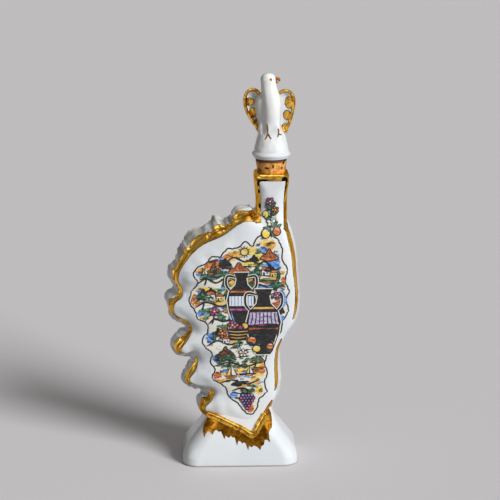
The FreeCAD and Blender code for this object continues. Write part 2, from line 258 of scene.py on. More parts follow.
def nearest(tree, flat):
    """For each place given as x and z, which one in the tree is nearest."""
    return np.array([tree.find((x, z, 0.0))[1] for x, z in flat])


class Edge:
    """A closed anticlockwise loop that tells how far inside it a point lies."""

    def __init__(self, loop):
        self.loop = loop
        along = unit(np.roll(loop, -1, 0) - np.roll(loop, 1, 0))
        self.inward = np.stack([-along[:, 1], along[:, 0]], 1)
        self.tree = flat_tree(loop)

    def measure(self, points):
        """Distance inside, less than 0 outside, and the nearest place on the loop."""
        near = nearest(self.tree, points)
        offset = points - self.loop[near]
        square = (offset * self.inward[near]).sum(1)
        length = np.linalg.norm(offset, axis=1)
        return np.where(length < 1.0, square, np.sign(square) * length), near


def fill_loop(loop, spacing):
    """Triangles that fill a closed loop, with points on a grid inside it."""
    low = loop.min(0)
    high = loop.max(0)
    grid = np.meshgrid(*[np.arange(a + spacing / 2, b, spacing) for a, b in zip(low, high)])
    grid = np.stack([axis.ravel() for axis in grid], 1)
    grid = grid[inside(loop, grid)] if len(grid) else grid.reshape(0, 2)
    if len(grid):
        gaps = np.min([np.hypot(*(grid - corner).T) for corner in loop], 0)
        grid = grid[gaps > spacing * 0.45]
    points = [Vector(p) for p in np.vstack([loop, grid])]
    filled = delaunay_2d_cdt(points, [], [list(range(len(loop)))], 1, 1e-5)
    return np.array(filled[0]), [tuple(face) for face in filled[2]]


def join(shells):
    """Several lots of points and faces as one."""
    points = []
    faces = []
    count = 0
    for some_points, some_faces in shells:
        points.append(np.asarray(some_points))
        faces += [tuple(i + count for i in face) for face in some_faces]
        count += len(some_points)
    return np.vstack(points), faces


def stack(rings, capped=True):
    """Skin over a pile of rings of equally many points, with its ends closed."""
    count = len(rings[0])
    faces = []
    for level in range(len(rings) - 1):
        for i in range(count):
            a = level * count + i
            b = level * count + (i + 1) % count
            faces.append((a, b, b + count, a + count))
    if capped:
        last = (len(rings) - 1) * count
        faces.append(tuple(reversed(range(count))))
        faces.append(tuple(last + i for i in range(count)))
    return np.vstack(rings), faces


def rounded_ring(width, depth, corner, z, centre=0.0, steps=8):
    """Level ring of a rounded rectangle, anticlockwise from above."""
    points = []
    for turn, (sx, sy) in enumerate(((1, 1), (-1, 1), (-1, -1), (1, -1))):
        for step in range(steps + 1):
            angle = math.pi / 2 * (turn + step / steps)
            x = sx * (width / 2 - corner) + corner * math.cos(angle)
            y = sy * (depth / 2 - corner) + corner * math.sin(angle)
            points.append((centre + x, y, z))
    return np.array(points)


def round_ring(half_x, half_y, z, centre=(0.0, 0.0), count=64):
    """Level ring of an ellipse."""
    angle = np.arange(count) * math.tau / count
    return np.stack([
        centre[0] + half_x * np.cos(angle), centre[1] + half_y * np.sin(angle), np.full(count, z),
    ], 1)


def new_mesh(name, points, faces):
    """Mesh in metres from points in millimetres, with its faces turned outwards."""
    mesh = bpy.data.meshes.new(name)
    mesh.from_pydata((np.asarray(points, float) * MM).tolist(), [], faces)
    shape = bmesh.new()
    shape.from_mesh(mesh)
    bmesh.ops.remove_doubles(shape, verts=shape.verts, dist=0.01 * MM)
    bmesh.ops.recalc_face_normals(shape, faces=shape.faces)
    shape.to_mesh(mesh)
    shape.free()
    return mesh


def new_object(name, mesh):
    """Object at the origin that shows a mesh or a curve."""
    made = bpy.data.objects.new(name, mesh)
    bpy.context.scene.collection.objects.link(made)
    return made


def bake_modifiers(made):
    """The object's shape with its modifiers turned into a plain mesh."""
    graph = bpy.context.evaluated_depsgraph_get()
    mesh = bpy.data.meshes.new_from_object(made.evaluated_get(graph))
    name = made.name
    bpy.data.objects.remove(made)
    return new_object(name, mesh)


def melt(name, shells, voxel):
    """Overlapping closed shells as one even skin."""
    made = new_object(name, new_mesh(name, *join(shells)))
    remesh = made.modifiers.new("melt", "REMESH")
    remesh.mode = "VOXEL"
    remesh.voxel_size = voxel * MM
    return bake_modifiers(made)


def carve(made, shell):
    """Takes a closed shell out of an object."""
    tool = new_object("carving_tool", new_mesh("carving_tool", *shell))
    cut = made.modifiers.new("carve", "BOOLEAN")
    cut.operation = "DIFFERENCE"
    cut.solver = "EXACT"
    cut.object = tool
    made = bake_modifiers(made)
    bpy.data.objects.remove(tool)
    return made


def read_points(mesh):
    """A mesh's points in millimetres."""
    flat = np.empty(len(mesh.vertices) * 3)
    mesh.vertices.foreach_get("co", flat)
    return flat.reshape(-1, 3) / MM


def write_points(mesh, points):
    """Moves a mesh's points to new places in millimetres."""
    mesh.vertices.foreach_set("co", (points * MM).ravel())
    mesh.update()


def relax(mesh, rounds, weight=None):
    """Evens out a skin: plain rounds keep its volume, weighted ones melt what they reach."""
    points = read_points(mesh)
    ends = np.empty(len(mesh.edges) * 2, int)
    mesh.edges.foreach_get("vertices", ends)
    a, b = ends.reshape(-1, 2).T
    count = len(points)
    shared = np.bincount(a, minlength=count) + np.bincount(b, minlength=count)
    for turn in range(rounds):
        pull = np.stack([
            np.bincount(a, points[b, k], count) + np.bincount(b, points[a, k], count) for k in range(3)
        ], 1) / shared[:, None] - points
        if weight is None:
            points += pull * (0.5 if turn % 2 == 0 else -0.52)
        else:
            points += pull * weight[:, None] * 0.5
    write_points(mesh, points)


def store(mesh, name, values):
    """Keeps one number a point on the mesh, for its finish to read."""
    mesh.attributes.new(name, "FLOAT", "POINT").data.foreach_set("value", np.asarray(values, np.float32))


def outward(mesh):
    """The direction that each point faces."""
    flat = np.empty(len(mesh.vertices) * 3, np.float32)
    mesh.vertex_normals.foreach_get("vector", flat)
    return flat.reshape(-1, 3)


def wander(points, size, seed=0.0):
    """Smooth noise from -1 to 1 at each point, with bumps of a size in millimetres."""
    shift = Vector((seed, seed * 1.7, seed * 0.3))
    return np.array([noise.noise(Vector(p) / size + shift) for p in points.tolist()])


def skin_of(made):
    """Search tree of an object's faces, for laying other pieces on it."""
    return BVHTree.FromObject(made, bpy.context.evaluated_depsgraph_get())


def lay_on(skin, flat, lift, side=-1):
    """Points given as x and z, laid on the front (side -1) or back of a skin and lifted off it."""
    laid = []
    for x, z in flat:
        hit, normal = skin.ray_cast(Vector((x, side * 100, z)) * MM, Vector((0, -side, 0)))[:2]
        if hit:
            laid.append(hit / MM + normal * lift)
        else:
            laid.append((x, side * face_depth, z))
    return np.array(laid)


# Finishes

def add(tree, kind, inputs, **settings):
    """New node with its settings and inputs. An input is a constant or another node's output."""
    made = tree.nodes.new(kind)
    for name, value in settings.items():
        setattr(made, name, value)
    for name, value in inputs.items():
        if isinstance(value, bpy.types.NodeSocket):
            tree.links.new(value, made.inputs[name])
        else:
            made.inputs[name].default_value = value
    return made


def calc(tree, operation, first, second=0.0):
    """Node that works out one number from two."""
    return add(tree, "ShaderNodeMath", {0: first, 1: second}, operation=operation).outputs[0]


def stored(tree, name):
    """The number that the mesh keeps under a name."""
    return add(tree, "ShaderNodeAttribute", {}, attribute_name=name).outputs["Fac"]


def blend_colours(tree, factor, first, second):
    """Colour between two others."""
    return add(tree, "ShaderNodeMix", {0: factor, 6: first, 7: second}, data_type="RGBA").outputs[2]


def between(tree, value, low, high):
    """0 below low and 1 above high."""
    inputs = {0: value, 1: low, 2: high}
    return add(tree, "ShaderNodeMapRange", inputs, interpolation_type="SMOOTHSTEP").outputs[0]


def grain(tree, size, detail=2.0, stretch=(1.0, 1.0, 1.0), seed=0.0, distortion=0.0):
    """Noise with bumps of a size in millimetres."""
    place = add(tree, "ShaderNodeTexCoord", {}).outputs["Object"]
    shift = (seed, seed, seed)
    moved = add(tree, "ShaderNodeMapping", {"Vector": place, "Scale": stretch, "Location": shift})
    return add(tree, "ShaderNodeTexNoise", {
        "Vector": moved.outputs[0], "Scale": 1 / (size * MM), "Detail": detail, "Distortion": distortion,
    }).outputs["Fac"]


def relief(tree, height, depth, strength=1.0, under=None):
    """Bump of a depth in millimetres."""
    inputs = {"Strength": strength, "Distance": depth * MM, "Height": height}
    if under:
        inputs["Normal"] = under
    return add(tree, "ShaderNodeBump", inputs).outputs[0]


def new_finish(name):
    """New material, with its node tree and its shader."""
    finish = bpy.data.materials.new(name)
    finish.use_nodes = True
    tree = finish.node_tree
    return finish, tree, tree.nodes["Principled BSDF"]


def feed(tree, surface, **inputs):
    """Sets the surface's sockets, named with underscores for spaces."""
    for name, value in inputs.items():
        socket = surface.inputs[name.replace("_", " ")]
        if isinstance(value, bpy.types.NodeSocket):
            tree.links.new(value, socket)
        else:
            socket.default_value = value


glaze_white = (0.80, 0.82, 0.83, 1.0)
glaze_cool = (0.72, 0.755, 0.785, 1.0)
glaze_warm = (0.89, 0.885, 0.86, 1.0)
# Warm grey of the painted shade on the flask's upper walls and in their grooves, also used for the darker
# line along the foot's bottom edge
darkening_tone = (0.46, 0.42, 0.33, 1.0)
glaze_rough = 0.09
glaze_coat = 0.35
gold_tones = ((1.0, 0.62, 0.11, 1.0), (0.50, 0.20, 0.016, 1.0))
deep_gold_tones = ((0.58, 0.26, 0.018, 1.0), (0.24, 0.08, 0.004, 1.0))
# Painted shade and dark reflection: the dark gold of the thin line along the gold's border, and of the dark
# patches in it
painted_dark_gold = (0.10, 0.045, 0.012, 1.0)
# Painted reflection: near-black gold where the neck's gold mirrors dark surroundings
painted_reflection_black = (0.012, 0.006, 0.003, 1.0)
gold_rim = (1.0, 0.68, 0.26, 1.0)       # gold seen at a grazing angle
no_tint = (1.0, 1.0, 1.0, 1.0)
brush_stretch = 0.17        # brush marks change this much slower along an edge than across it
cork_tones = ((1.0, 0.51, 0.13, 1.0), (0.60, 0.235, 0.05, 1.0))
# Dark of the flecks, and of the glue stain and painted shade at the cork's top
cork_flecks_and_shade = (0.16, 0.065, 0.025, 1.0)


def glaze_colour(tree, pale):
    """Bluish white where the glaze lies thick, with faint cloudy patches, and warm grey where the mesh keeps
    a darkening: painted shade on the flask's upper walls, and a line along the foot's bottom edge.
    """
    clean = blend_colours(tree, between(tree, grain(tree, 38, 2), 0.38, 0.66), pale, glaze_cool)
    darkening = calc(tree, "MULTIPLY", stored(tree, "warm_darkening"), 0.8)
    return blend_colours(tree, darkening, clean, darkening_tone)


def brush_marks(tree, size, seed, distortion):
    """Noise drawn out along a gilded edge, by the along and across values kept on the mesh."""
    place = add(tree, "ShaderNodeCombineXYZ", {
        "X": calc(tree, "MULTIPLY", stored(tree, "brush_along"), brush_stretch),
        "Y": stored(tree, "brush_across"), "Z": seed * size,
    }).outputs[0]
    return add(tree, "ShaderNodeTexNoise", {
        "Vector": place, "Scale": 1 / size, "Detail": 2.0, "Distortion": distortion,
    }).outputs["Fac"]


def gold_colour(tree, along_edge=False, tones=gold_tones):
    """Brushed gold, bright where it lies thick and brown in streaks, with painted dark reflections: dark
    patches, and nearly black places where the mesh keeps them.
    """
    if along_edge:
        streaks = brush_marks(tree, 2.2, 0.3, 0.8)
        painted_dark_patches = brush_marks(tree, 3.4, 4.8, 1.0)
    else:
        streaks = grain(tree, 4.4, 2, (1.0, 0.6, 1.0), 0.3, 1.0)
        painted_dark_patches = grain(tree, 5.5, 2, (1.0, 0.6, 1.0), 0.8, 1.4)
    brushed = blend_colours(tree, between(tree, streaks, 0.42, 0.64), *tones)
    # Painted dark reflections: patches of dark gold laid by noise
    painted_dark_patches = calc(tree, "MULTIPLY", between(tree, painted_dark_patches, 0.60, 0.74), 0.75)
    blotted = blend_colours(tree, painted_dark_patches, brushed, painted_dark_gold)
    return blend_colours(tree, between(tree, stored(tree, "painted_dark_reflection"), 0.05, 0.40), blotted, painted_reflection_black)


def gold_relief(tree, depth, along_edge=False):
    """Wrinkles under the gold, of a depth in millimetres."""
    fine = relief(tree, grain(tree, 2.2, 1), depth * 0.05, 0.4)
    if along_edge:
        return relief(tree, brush_marks(tree, 2.6, 2.0, 0.8), depth * 0.8, 0.85, fine)
    return relief(tree, grain(tree, 5.5, 1, (1.0, 0.5, 1.0), 0.7, 0.8), depth, 0.8, fine)


def make_glaze(name, pale=glaze_white):
    """Glossy porcelain."""
    finish, tree, surface = new_finish(name)
    smooth = relief(tree, grain(tree, 7, 2), 0.12, 0.35)
    feed(tree, surface, Coat_Weight=glaze_coat, Coat_Roughness=0.05)
    feed(tree, surface, Base_Color=glaze_colour(tree, pale), Roughness=glaze_rough, Normal=smooth)
    return finish


def make_gilded_glaze(name, pale=glaze_white, depth=0.9, along_edge=False):
    """Glossy porcelain, with ragged gold where the gold level kept on the mesh is over 0."""
    finish, tree, surface = new_finish(name)
    ragged = calc(tree, "MULTIPLY", calc(tree, "SUBTRACT", grain(tree, 1.3, 3), 0.5), 0.7)
    level = calc(tree, "ADD", stored(tree, "gold_level"), ragged)
    cover = between(tree, level, 0.0, 0.12)
    # Painted shade and dark reflection: a thin dark line along the border of the gold
    core = between(tree, level, 0.10, 0.70)
    gold = blend_colours(tree, core, painted_dark_gold, gold_colour(tree, along_edge))
    smooth = relief(tree, grain(tree, 7, 2), 0.12, 0.35)
    wrinkled = gold_relief(tree, depth, along_edge)
    bumps = add(tree, "ShaderNodeMix", {0: cover, 4: smooth, 5: wrinkled}, data_type="VECTOR")
    feed(tree, surface, Coat_Weight=glaze_coat, Coat_Roughness=0.05)
    feed(
        tree, surface,
        Base_Color=blend_colours(tree, cover, glaze_colour(tree, pale), gold),
        Metallic=cover,
        Specular_Tint=blend_colours(tree, cover, no_tint, gold_rim),
        Roughness=calc(tree, "ADD", calc(tree, "MULTIPLY", cover, glaze_rough), glaze_rough),
        Coat_Weight=calc(tree, "MULTIPLY", calc(tree, "SUBTRACT", 1.0, cover), glaze_coat),
        Normal=bumps.outputs[1],
    )
    return finish


def make_gold(name, metal, roughness, depth, tones=gold_tones):
    """Fired gold: bright where it lies thick, duller where it is brushed thin."""
    finish, tree, surface = new_finish(name)
    feed(
        tree, surface,
        Base_Color=gold_colour(tree, tones=tones),
        Metallic=metal,
        Specular_Tint=gold_rim,
        Roughness=roughness,
        Normal=gold_relief(tree, depth),
    )
    return finish


def make_ink(name, colour, second):
    """Printed colour under a glossy flux, with the second colour showing through in strokes."""
    finish, tree, surface = new_finish(name)
    strokes = between(tree, grain(tree, 3.0, 3, (1.0, 1.0, 3.0), 0.9, 0.4), 0.42, 0.62)
    feed(
        tree, surface,
        Base_Color=blend_colours(tree, strokes, colour + (1.0,), second + (1.0,)),
        Roughness=0.14,
        Normal=relief(tree, grain(tree, 0.5, 1), 0.02, 0.4),
    )
    return finish


def make_cork():
    """Orange-brown cork with darker flecks and pits, and a dark top: glue stain and painted shade under the
    mound's rim.
    """
    finish, tree, surface = new_finish("cork")
    patches = between(tree, grain(tree, 1.6, 4, (1.0, 1.0, 0.6), 0.2), 0.36, 0.66)
    flecks = between(tree, grain(tree, 0.8, 3, (1.0, 1.0, 1.0), 0.5), 0.60, 0.70)
    # The cork's top darkened: glue stain, and painted shade under the mound's rim
    flecks = calc(tree, "MAXIMUM", flecks, stored(tree, "glue_and_painted_shade"))
    feed(
        tree, surface,
        Base_Color=blend_colours(tree, flecks, blend_colours(tree, patches, *cork_tones), cork_flecks_and_shade),
        Roughness=0.78,
        Normal=relief(tree, grain(tree, 0.9, 5), 0.35, 0.9),
    )
    return finish


def make_dark(name, colour, roughness, metal=0.0):
    """Dark finish, mottled with a tone twice as light."""
    finish, tree, surface = new_finish(name)
    lighter = tuple(min(1.0, 2.0 * c) for c in colour)
    feed(
        tree, surface,
        Base_Color=blend_colours(tree, grain(tree, 1.5, 3), colour + (1.0,), lighter + (1.0,)),
        Metallic=metal,
        Roughness=roughness,
        Normal=relief(tree, grain(tree, 0.7, 2), 0.1, 0.6),
    )
    return finish


def show(made, finish, body, slot, *nodes):
    """Gives a piece its finish and its body, and hides the CAD nodes that it stands for. The slot is not
    used.
    """
    made.data.materials.clear()
    made.data.materials.append(finish)
    made.data.polygons.foreach_set("use_smooth", [True] * len(made.data.polygons))
    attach(made, body)
    if nodes:
        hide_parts(*nodes)
    return made


# Flask

front_loop = smooth_loop(outline[:, 0:2], edge_steps)
ridge_loop = smooth_loop(outline[:, 2:4], edge_steps)
front_edge = Edge(front_loop)
front_run = np.cumsum(np.linalg.norm(front_loop - np.roll(front_loop, 1, 0), axis=1))


def outline_row(near):
    """Row of the outline, with its fraction, at places on the front edge."""
    return near / len(front_loop) * len(outline)


def face_drop(flat, distance):
    """How far the front lies back beside the lobes and in the troughs between them."""
    drop = edge_fall * ease((-12 - flat[:, 0]) / 14) * np.exp(-(distance / 6.0) ** 2)
    for x, z, wide, tall in troughs:
        drop += trough_fall * np.exp(-((flat[:, 0] - x) / wide) ** 2 - ((flat[:, 1] - z) / tall) ** 2)
    return drop


edge_drop = face_drop(front_loop, 0.0)


def make_swell():
    """Grid that holds how far inside the face each place is, softened as slip softens it."""
    step = 0.6
    margin = 22
    reach = 34
    softness = 6.2
    low = front_loop.min(0) - margin
    high = front_loop.max(0) + margin
    xs = np.arange(low[0], high[0], step)
    zs = np.arange(low[1], high[1], step)
    grid = np.stack([axis.ravel() for axis in np.meshgrid(xs, zs)], 1)
    field = inside(front_loop, grid).astype(float).reshape(len(zs), len(xs))
    kernel = np.exp(-(np.arange(-reach, reach + 1) * step / softness) ** 2 / 2)
    kernel /= kernel.sum()
    for axis in (0, 1):
        field = np.apply_along_axis(lambda row: np.convolve(row, kernel, "same"), axis, field)
    return low, step, field


swell_low, swell_step, swell_field = make_swell()


def face_swell(flat):
    """Softened value of the face at points given as x and z."""
    place = (flat - swell_low) / swell_step
    i = np.clip(place.astype(int), 0, np.array(swell_field.shape[::-1]) - 2)
    t = place - i
    f = swell_field
    low = f[i[:, 1], i[:, 0]] * (1 - t[:, 0]) + f[i[:, 1], i[:, 0] + 1] * t[:, 0]
    high = f[i[:, 1] + 1, i[:, 0]] * (1 - t[:, 0]) + f[i[:, 1] + 1, i[:, 0] + 1] * t[:, 0]
    return low * (1 - t[:, 1]) + high * t[:, 1]


def face_height(flat):
    """Depth of the pillowed face: a quick rise off the edge, then a slow one."""
    distance = np.maximum(front_edge.measure(flat)[0], 0.0)
    rise = 1 - np.exp(-distance / 0.9)
    slow = ease((face_swell(flat) - 0.40) / 0.60)
    full = face_depth - edge_depth
    return edge_depth + full * (0.22 * rise + 0.78 * slow * rise)


def flask_shell():
    """Walls that lean out from each edge to the ridge, and the two pillowed faces."""
    rings = []
    full = math.hypot(1.0, ridge_round) - ridge_round
    for share in np.linspace(-1, 1, 21):
        lean = 1 - (math.hypot(share, ridge_round) - ridge_round) / full
        ring = front_loop * (1 - lean) + ridge_loop * lean
        rings.append(np.stack([ring[:, 0], share * (edge_depth - edge_drop), ring[:, 1]], 1))
    flat, faces = fill_loop(front_loop, 1.6)
    distance = front_edge.measure(flat)[0]
    height = np.where(distance < 0.02, edge_depth, face_height(flat)) - face_drop(flat, distance)
    shells = [stack(rings, capped=False)]
    for side in (-1, 1):
        shells.append((np.stack([flat[:, 0], side * height, flat[:, 1]], 1), faces))
    return join(shells)


def neck_size(z):
    """Width and depth of the neck at height z."""
    share = np.clip((z - root_z) / (waist_z - root_z), 0, 1)
    depth = waist_width + (root_depth - waist_width) * (1 + np.cos(math.pi * share)) / 2
    flare = (mouth_width - waist_width) * ease((z - waist_z) / (mouth_z - waist_z - 3))
    return waist_width + flare, depth + flare


def neck_shell():
    """Square neck that swells into the flask and ends in a rounded lip."""
    rings = []
    for z in np.append(np.arange(root_z - 6, mouth_z - lip_round, 2.0), mouth_z - lip_round):
        corner = neck_corner + (lip_corner - neck_corner) * ease((z - 196) / 9)
        rings.append(rounded_ring(*neck_size(z), corner, z, neck_x))
    for step in (0.35, 0.7, 1.0):
        inward = lip_round * (1 - math.cos(step * math.pi / 2))
        wide, deep = neck_size(mouth_z)
        z = mouth_z - lip_round + lip_round * math.sin(step * math.pi / 2)
        rings.append(rounded_ring(wide - 2 * inward, deep - 2 * inward, lip_corner, z, neck_x))
    return stack(rings)


def hollow_shell():
    """Inside of the flask, kept off its walls where the hollow follows them."""
    rings = []
    edge = slice(0, 2)
    ridge = slice(2, 4)
    for columns, y in ((edge, -hollow_depth), (ridge, 0.0), (edge, hollow_depth)):
        rows = outline[:, columns]
        along = unit(np.roll(rows, -1, 0) - np.roll(rows, 1, 0))
        moved = rows + porcelain_wall * np.stack([-along[:, 1], along[:, 0]], 1)
        loop = smooth_loop(moved[outline[:, 4] == 1], 4)
        rings.append(np.stack([loop[:, 0], np.full(len(loop), y), loop[:, 1]], 1))
    return stack(rings)


def bore_shell():
    """Way through the neck, with the cork's tapered seat."""
    return stack([round_ring(radius, radius, z, (neck_x, 0)) for z, radius in bore_profile])


def wall_pleats(points):
    """Share of the wall, nearest place on the edge, outline row and pleat height at each point."""
    distance, near = front_edge.measure(points[:, [0, 2]])
    row = outline_row(near)
    wall = ease((-distance - 0.3) / 1.2) * (1 - 0.9 * ease((row - 36) / 2) * ease((51.5 - row) / 1.0))
    wall *= 1 - ease((points[:, 2] - 176) / 6) * ease((points[:, 0] - 6) / 4)
    side = np.sign(points[:, 1]) * side_shift
    across = np.stack([front_run[near], np.abs(points[:, 1]) * 0.25, side], 1)
    return wall, near, row, 1 - 2 * np.sqrt(wander(across, 6.4, 3.0) ** 2 + 0.004)


def flask_relief(points, normals):
    """Walls drawn into pleats from the gold to the ridge, with a crumpled crest where the gold ends."""
    wall, near, row, pleats = wall_pleats(points)
    depth = np.abs(points[:, 1]) + edge_drop[near]
    run = front_run[near]
    side = np.sign(points[:, 1]) * side_shift
    across = np.stack([run, depth * 0.25, side], 1)
    crumple = np.stack([run, depth * 0.8, side], 1)
    crest = edge_depth - np.interp(row, *zip(*gold_reach)) + 1.3 * wander(across * (1, 0, 1), 3.0, 5.0)
    bumps = 2.1 * (pleats - 0.45) * ease((edge_depth - depth) / 5.0)
    bumps += 0.55 * np.exp(-((depth - crest) / 1.0) ** 2) + 0.22 * wander(crumple, 3.4, 7.0)
    distance = front_edge.measure(points[:, [0, 2]])[0]
    dents = dent_depth * ease((distance - 0.8) / 2.0) * ease((16 - distance) / 8.0)
    dents *= ease((4 - points[:, 0]) / 12)
    bumps = wall * bumps + dents * wander(points, 7.0, 4.0)
    return points + normals * bumps[:, None]


def gild_walls(points, distance, near):
    """How far inside the gold of the walls, which comes over the edge onto the face."""
    row = outline_row(near)
    behind = edge_depth - edge_drop[near] - np.abs(points[:, 1])
    reach = np.interp(row, *zip(*gold_reach))
    overlap = np.interp(row, *zip(*gold_overlap))
    side = np.sign(points[:, 1]) * side_shift
    wave = wander(np.stack([front_run[near], side, side], 1), 2.4, 11.0)
    gold = np.minimum(overlap - distance, reach - behind + np.where(row < 22, 1.3, 0.6) * wave)
    return np.minimum(gold, wall_gold_z - points[:, 2])


def gild_corners(points, off_x, off_y):
    """How far inside the gold down the corners of the neck."""
    left = points[:, 0] < neck_x
    gold = np.minimum(np.where(left, *gold_strips) - off_x, strip_depth - off_y)
    return np.minimum(gold, (points[:, 2] - np.where(left, *strip_ends)) * 0.6)


def gild_flask(points):
    """How far inside the gold each point lies, on the walls and on the neck."""
    x, y, z = points.T
    distance, near = front_edge.measure(points[:, [0, 2]])
    wide, deep = neck_size(z)
    off_x = wide / 2 - np.abs(x - neck_x)
    off_y = deep / 2 - np.abs(y)
    neck = (z > neck_gold_z) & (off_x > -0.6) & (distance < 1.0)
    gold = np.where(neck, gild_corners(points, off_x, off_y), no_gold)
    gold = np.maximum(gold, z - (mouth_z - gold_band))
    gold = np.maximum(np.where(neck, no_gold, gild_walls(points, distance, near)), gold)
    bore = (np.hypot(x - neck_x, y) < 9.9) & (z < mouth_z - 0.2) & (off_x > 0.9) & (off_y > 0.9)
    hollow = (distance > 2.5) & (np.abs(y) < hollow_depth + 0.2) & (z < 178)
    return np.where(bore | hollow, no_gold, gold)


def store_brushing(mesh, points, run):
    """Where the gold was brushed: along the edge, down the neck and round the mouth."""
    x, y, z = points.T
    neck = (z > 172) & (np.abs(x - neck_x) < mouth_width / 2 + 1)
    mouth = z > mouth_z - gold_band
    store(mesh, "brush_along", np.where(mouth, x, np.where(neck, z, run)))
    store(mesh, "brush_across", np.where(mouth, z, np.abs(y) + np.where(neck, x, 0)))
    # Painted dark reflections: near-black places in the gold on the front of the neck
    painted_dark_reflection = np.max([1 - np.hypot((x - a) / wide, (z - b) / tall) for a, b, wide, tall in painted_reflection_spots], 0)
    front = ease((painted_reflection_depth - y - neck_size(z)[1] / 2) / 1.6)
    store(mesh, "painted_dark_reflection", front * np.clip(painted_dark_reflection, 0, 1))


def make_flask(finish):
    """Flask and neck in one skin, with pleated walls, a hollow and an open mouth."""
    made = melt("flask_porcelain", [flask_shell(), neck_shell()], 0.8)
    mesh = made.data
    points = read_points(mesh)
    root = band(points[:, 2], 146, 10, 190, 10)
    root *= ease((17 - np.abs(points[:, 0] - neck_x)) / 6) * ease((np.abs(points[:, 1]) - 7) / 4)
    relax(mesh, 70, root)
    relax(mesh, 8)
    write_points(mesh, flask_relief(read_points(mesh), outward(mesh)))
    made = carve(carve(made, hollow_shell()), bore_shell())
    points = read_points(made.data)
    store(made.data, "gold_level", gild_flask(points))
    wall, near, _, pleats = wall_pleats(points)
    # Painted shade: the upper walls darker with a warm cast, most in the grooves between the pleats
    darkening = (0.26 + 1.1 * ease((0.85 - pleats) / 0.7)) * ease((points[:, 2] - 126) / 34)
    store(made.data, "warm_darkening", np.clip(wall * darkening, 0, 1))
    store_brushing(made.data, points, front_run[near])
    return show(made, finish, "bottle", "glazed_porcelain", "flask_shell", "neck_gilding")


# Foot

def foot_size(z):
    """Width and depth of the foot at height z."""
    share = np.asarray(z) / foot_height
    wide = np.interp(share, foot_taper[:, 0], foot_taper[:, 1])
    deep = np.interp(share, foot_taper[:, 0], foot_taper[:, 2])
    return foot_width * (1 - wide), foot_depth * (1 - deep)


def foot_ring(wide, deep, corner, z):
    """Level ring of the foot, with soft corners."""
    return rounded_ring(wide, deep, corner, z, foot_x, 16)


def foot_inside():
    """Rings of the foot's hollow, from its top down."""
    rings = []
    for z in (foot_height - foot_wall, 24.0, 8.0, 1.5):
        wide, deep = foot_size(z)
        rings.append(foot_ring(wide - 2 * foot_wall - 2, deep - 2 * foot_wall - 2, 6.0, z))
    return rings


def foot_outside():
    """Rings of the rolled rim, the pillowed walls and the rounded top, from the ground up."""
    rings = []
    soft = [foot_size(z) for z in np.arange(0, foot_height + 0.1, 1.0)]
    for z, inward in foot_rim:
        wide, deep = foot_width - foot_trim - 2 * inward, foot_depth - 2 * inward
        rings.append(foot_ring(wide, deep, foot_corner, z))
    for level in range(3, len(soft) - 1):
        wide, deep = np.mean(soft[max(0, level - 5):level + 6], 0)
        swell = 0.8 * math.sin(math.pi * min(1.0, level / 16))
        corner = foot_corner + 1.5 * math.sin(math.pi * level / len(soft))
        rings.append(foot_ring(wide - foot_trim + swell, deep, corner, float(level)))
    for inward in (0.6, 2.5, 6.0):
        wide, deep = soft[-1]
        z = foot_height - 0.6 + 0.6 * min(1.0, inward / 2.5)
        rings.append(foot_ring(wide - foot_trim - 2 * inward, deep - 2 * inward, foot_corner - 2, z))
    return rings


def bow_front(rings):
    """Lets the front of the foot bulge by a millimetre near the ground."""
    for ring in rings:
        low = ease((12 - ring[:, 2]) / 12 + 0.3)
        bow = np.maximum(0.0, np.cos(ring[:, 0] * math.pi / foot_width)) * low
        ring[:, 1] -= np.where(ring[:, 1] < 0, bow, 0.0)


def make_foot(finish):
    """Pillowy four-sided foot with a rolled rim, hollow underneath."""
    outside = foot_outside()
    bow_front(outside)
    made = new_object("foot_porcelain", new_mesh("foot_porcelain", *stack(foot_inside() + outside)))
    # Darker and warmer along the bottom edge of the foot
    store(made.data, "warm_darkening", ease((1.3 - read_points(made.data)[:, 2]) / 1.0))
    return show(made, finish, "bottle", "glazed_porcelain", "foot_shell")


# Trees that make shapes

def new_tree(name, **inputs):
    """Geometry Nodes tree with named inputs, and the outlets that give them."""
    tree = bpy.data.node_groups.new(name, "GeometryNodeTree")
    for title, kind in inputs.items():
        title = title.replace("_", " ")
        tree.interface.new_socket(title, in_out="INPUT", socket_type="NodeSocket" + kind)
    tree.interface.new_socket("Geometry", in_out="OUTPUT", socket_type="NodeSocketGeometry")
    return tree, tree.nodes.new("NodeGroupInput").outputs


def roughen(tree, shape, bumps, middle, height):
    """Moves a shape's skin in and out by bumps, whose middle value leaves it in place."""
    rise = calc(tree, "MULTIPLY", calc(tree, "SUBTRACT", bumps, middle), height)
    normal = tree.nodes.new("GeometryNodeInputNormal").outputs[0]
    offset = add(tree, "ShaderNodeVectorMath", {0: normal, 3: rise}, operation="SCALE").outputs[0]
    return add(tree, "GeometryNodeSetPosition", {"Geometry": shape, "Offset": offset}).outputs[0]


def end_tree(tree, shape, finish):
    """Real geometry in one finish as the tree's result."""
    whole = add(tree, "GeometryNodeRealizeInstances", {"Geometry": shape})
    done = add(tree, "GeometryNodeSetMaterial", {"Geometry": whole.outputs[0], "Material": finish})
    tree.links.new(done.outputs[0], tree.nodes.new("NodeGroupOutput").inputs[0])
    return tree


def run_tree(made, tree, values):
    """Plain mesh of what a tree makes of an object, with values for the tree's inputs."""
    run = made.modifiers.new("form", "NODES")
    run.node_group = tree
    for item in tree.interface.items_tree:
        if item.in_out == "INPUT" and item.name in values:
            run[item.identifier] = values[item.name]
    return bake_modifiers(made)


# Swept pieces

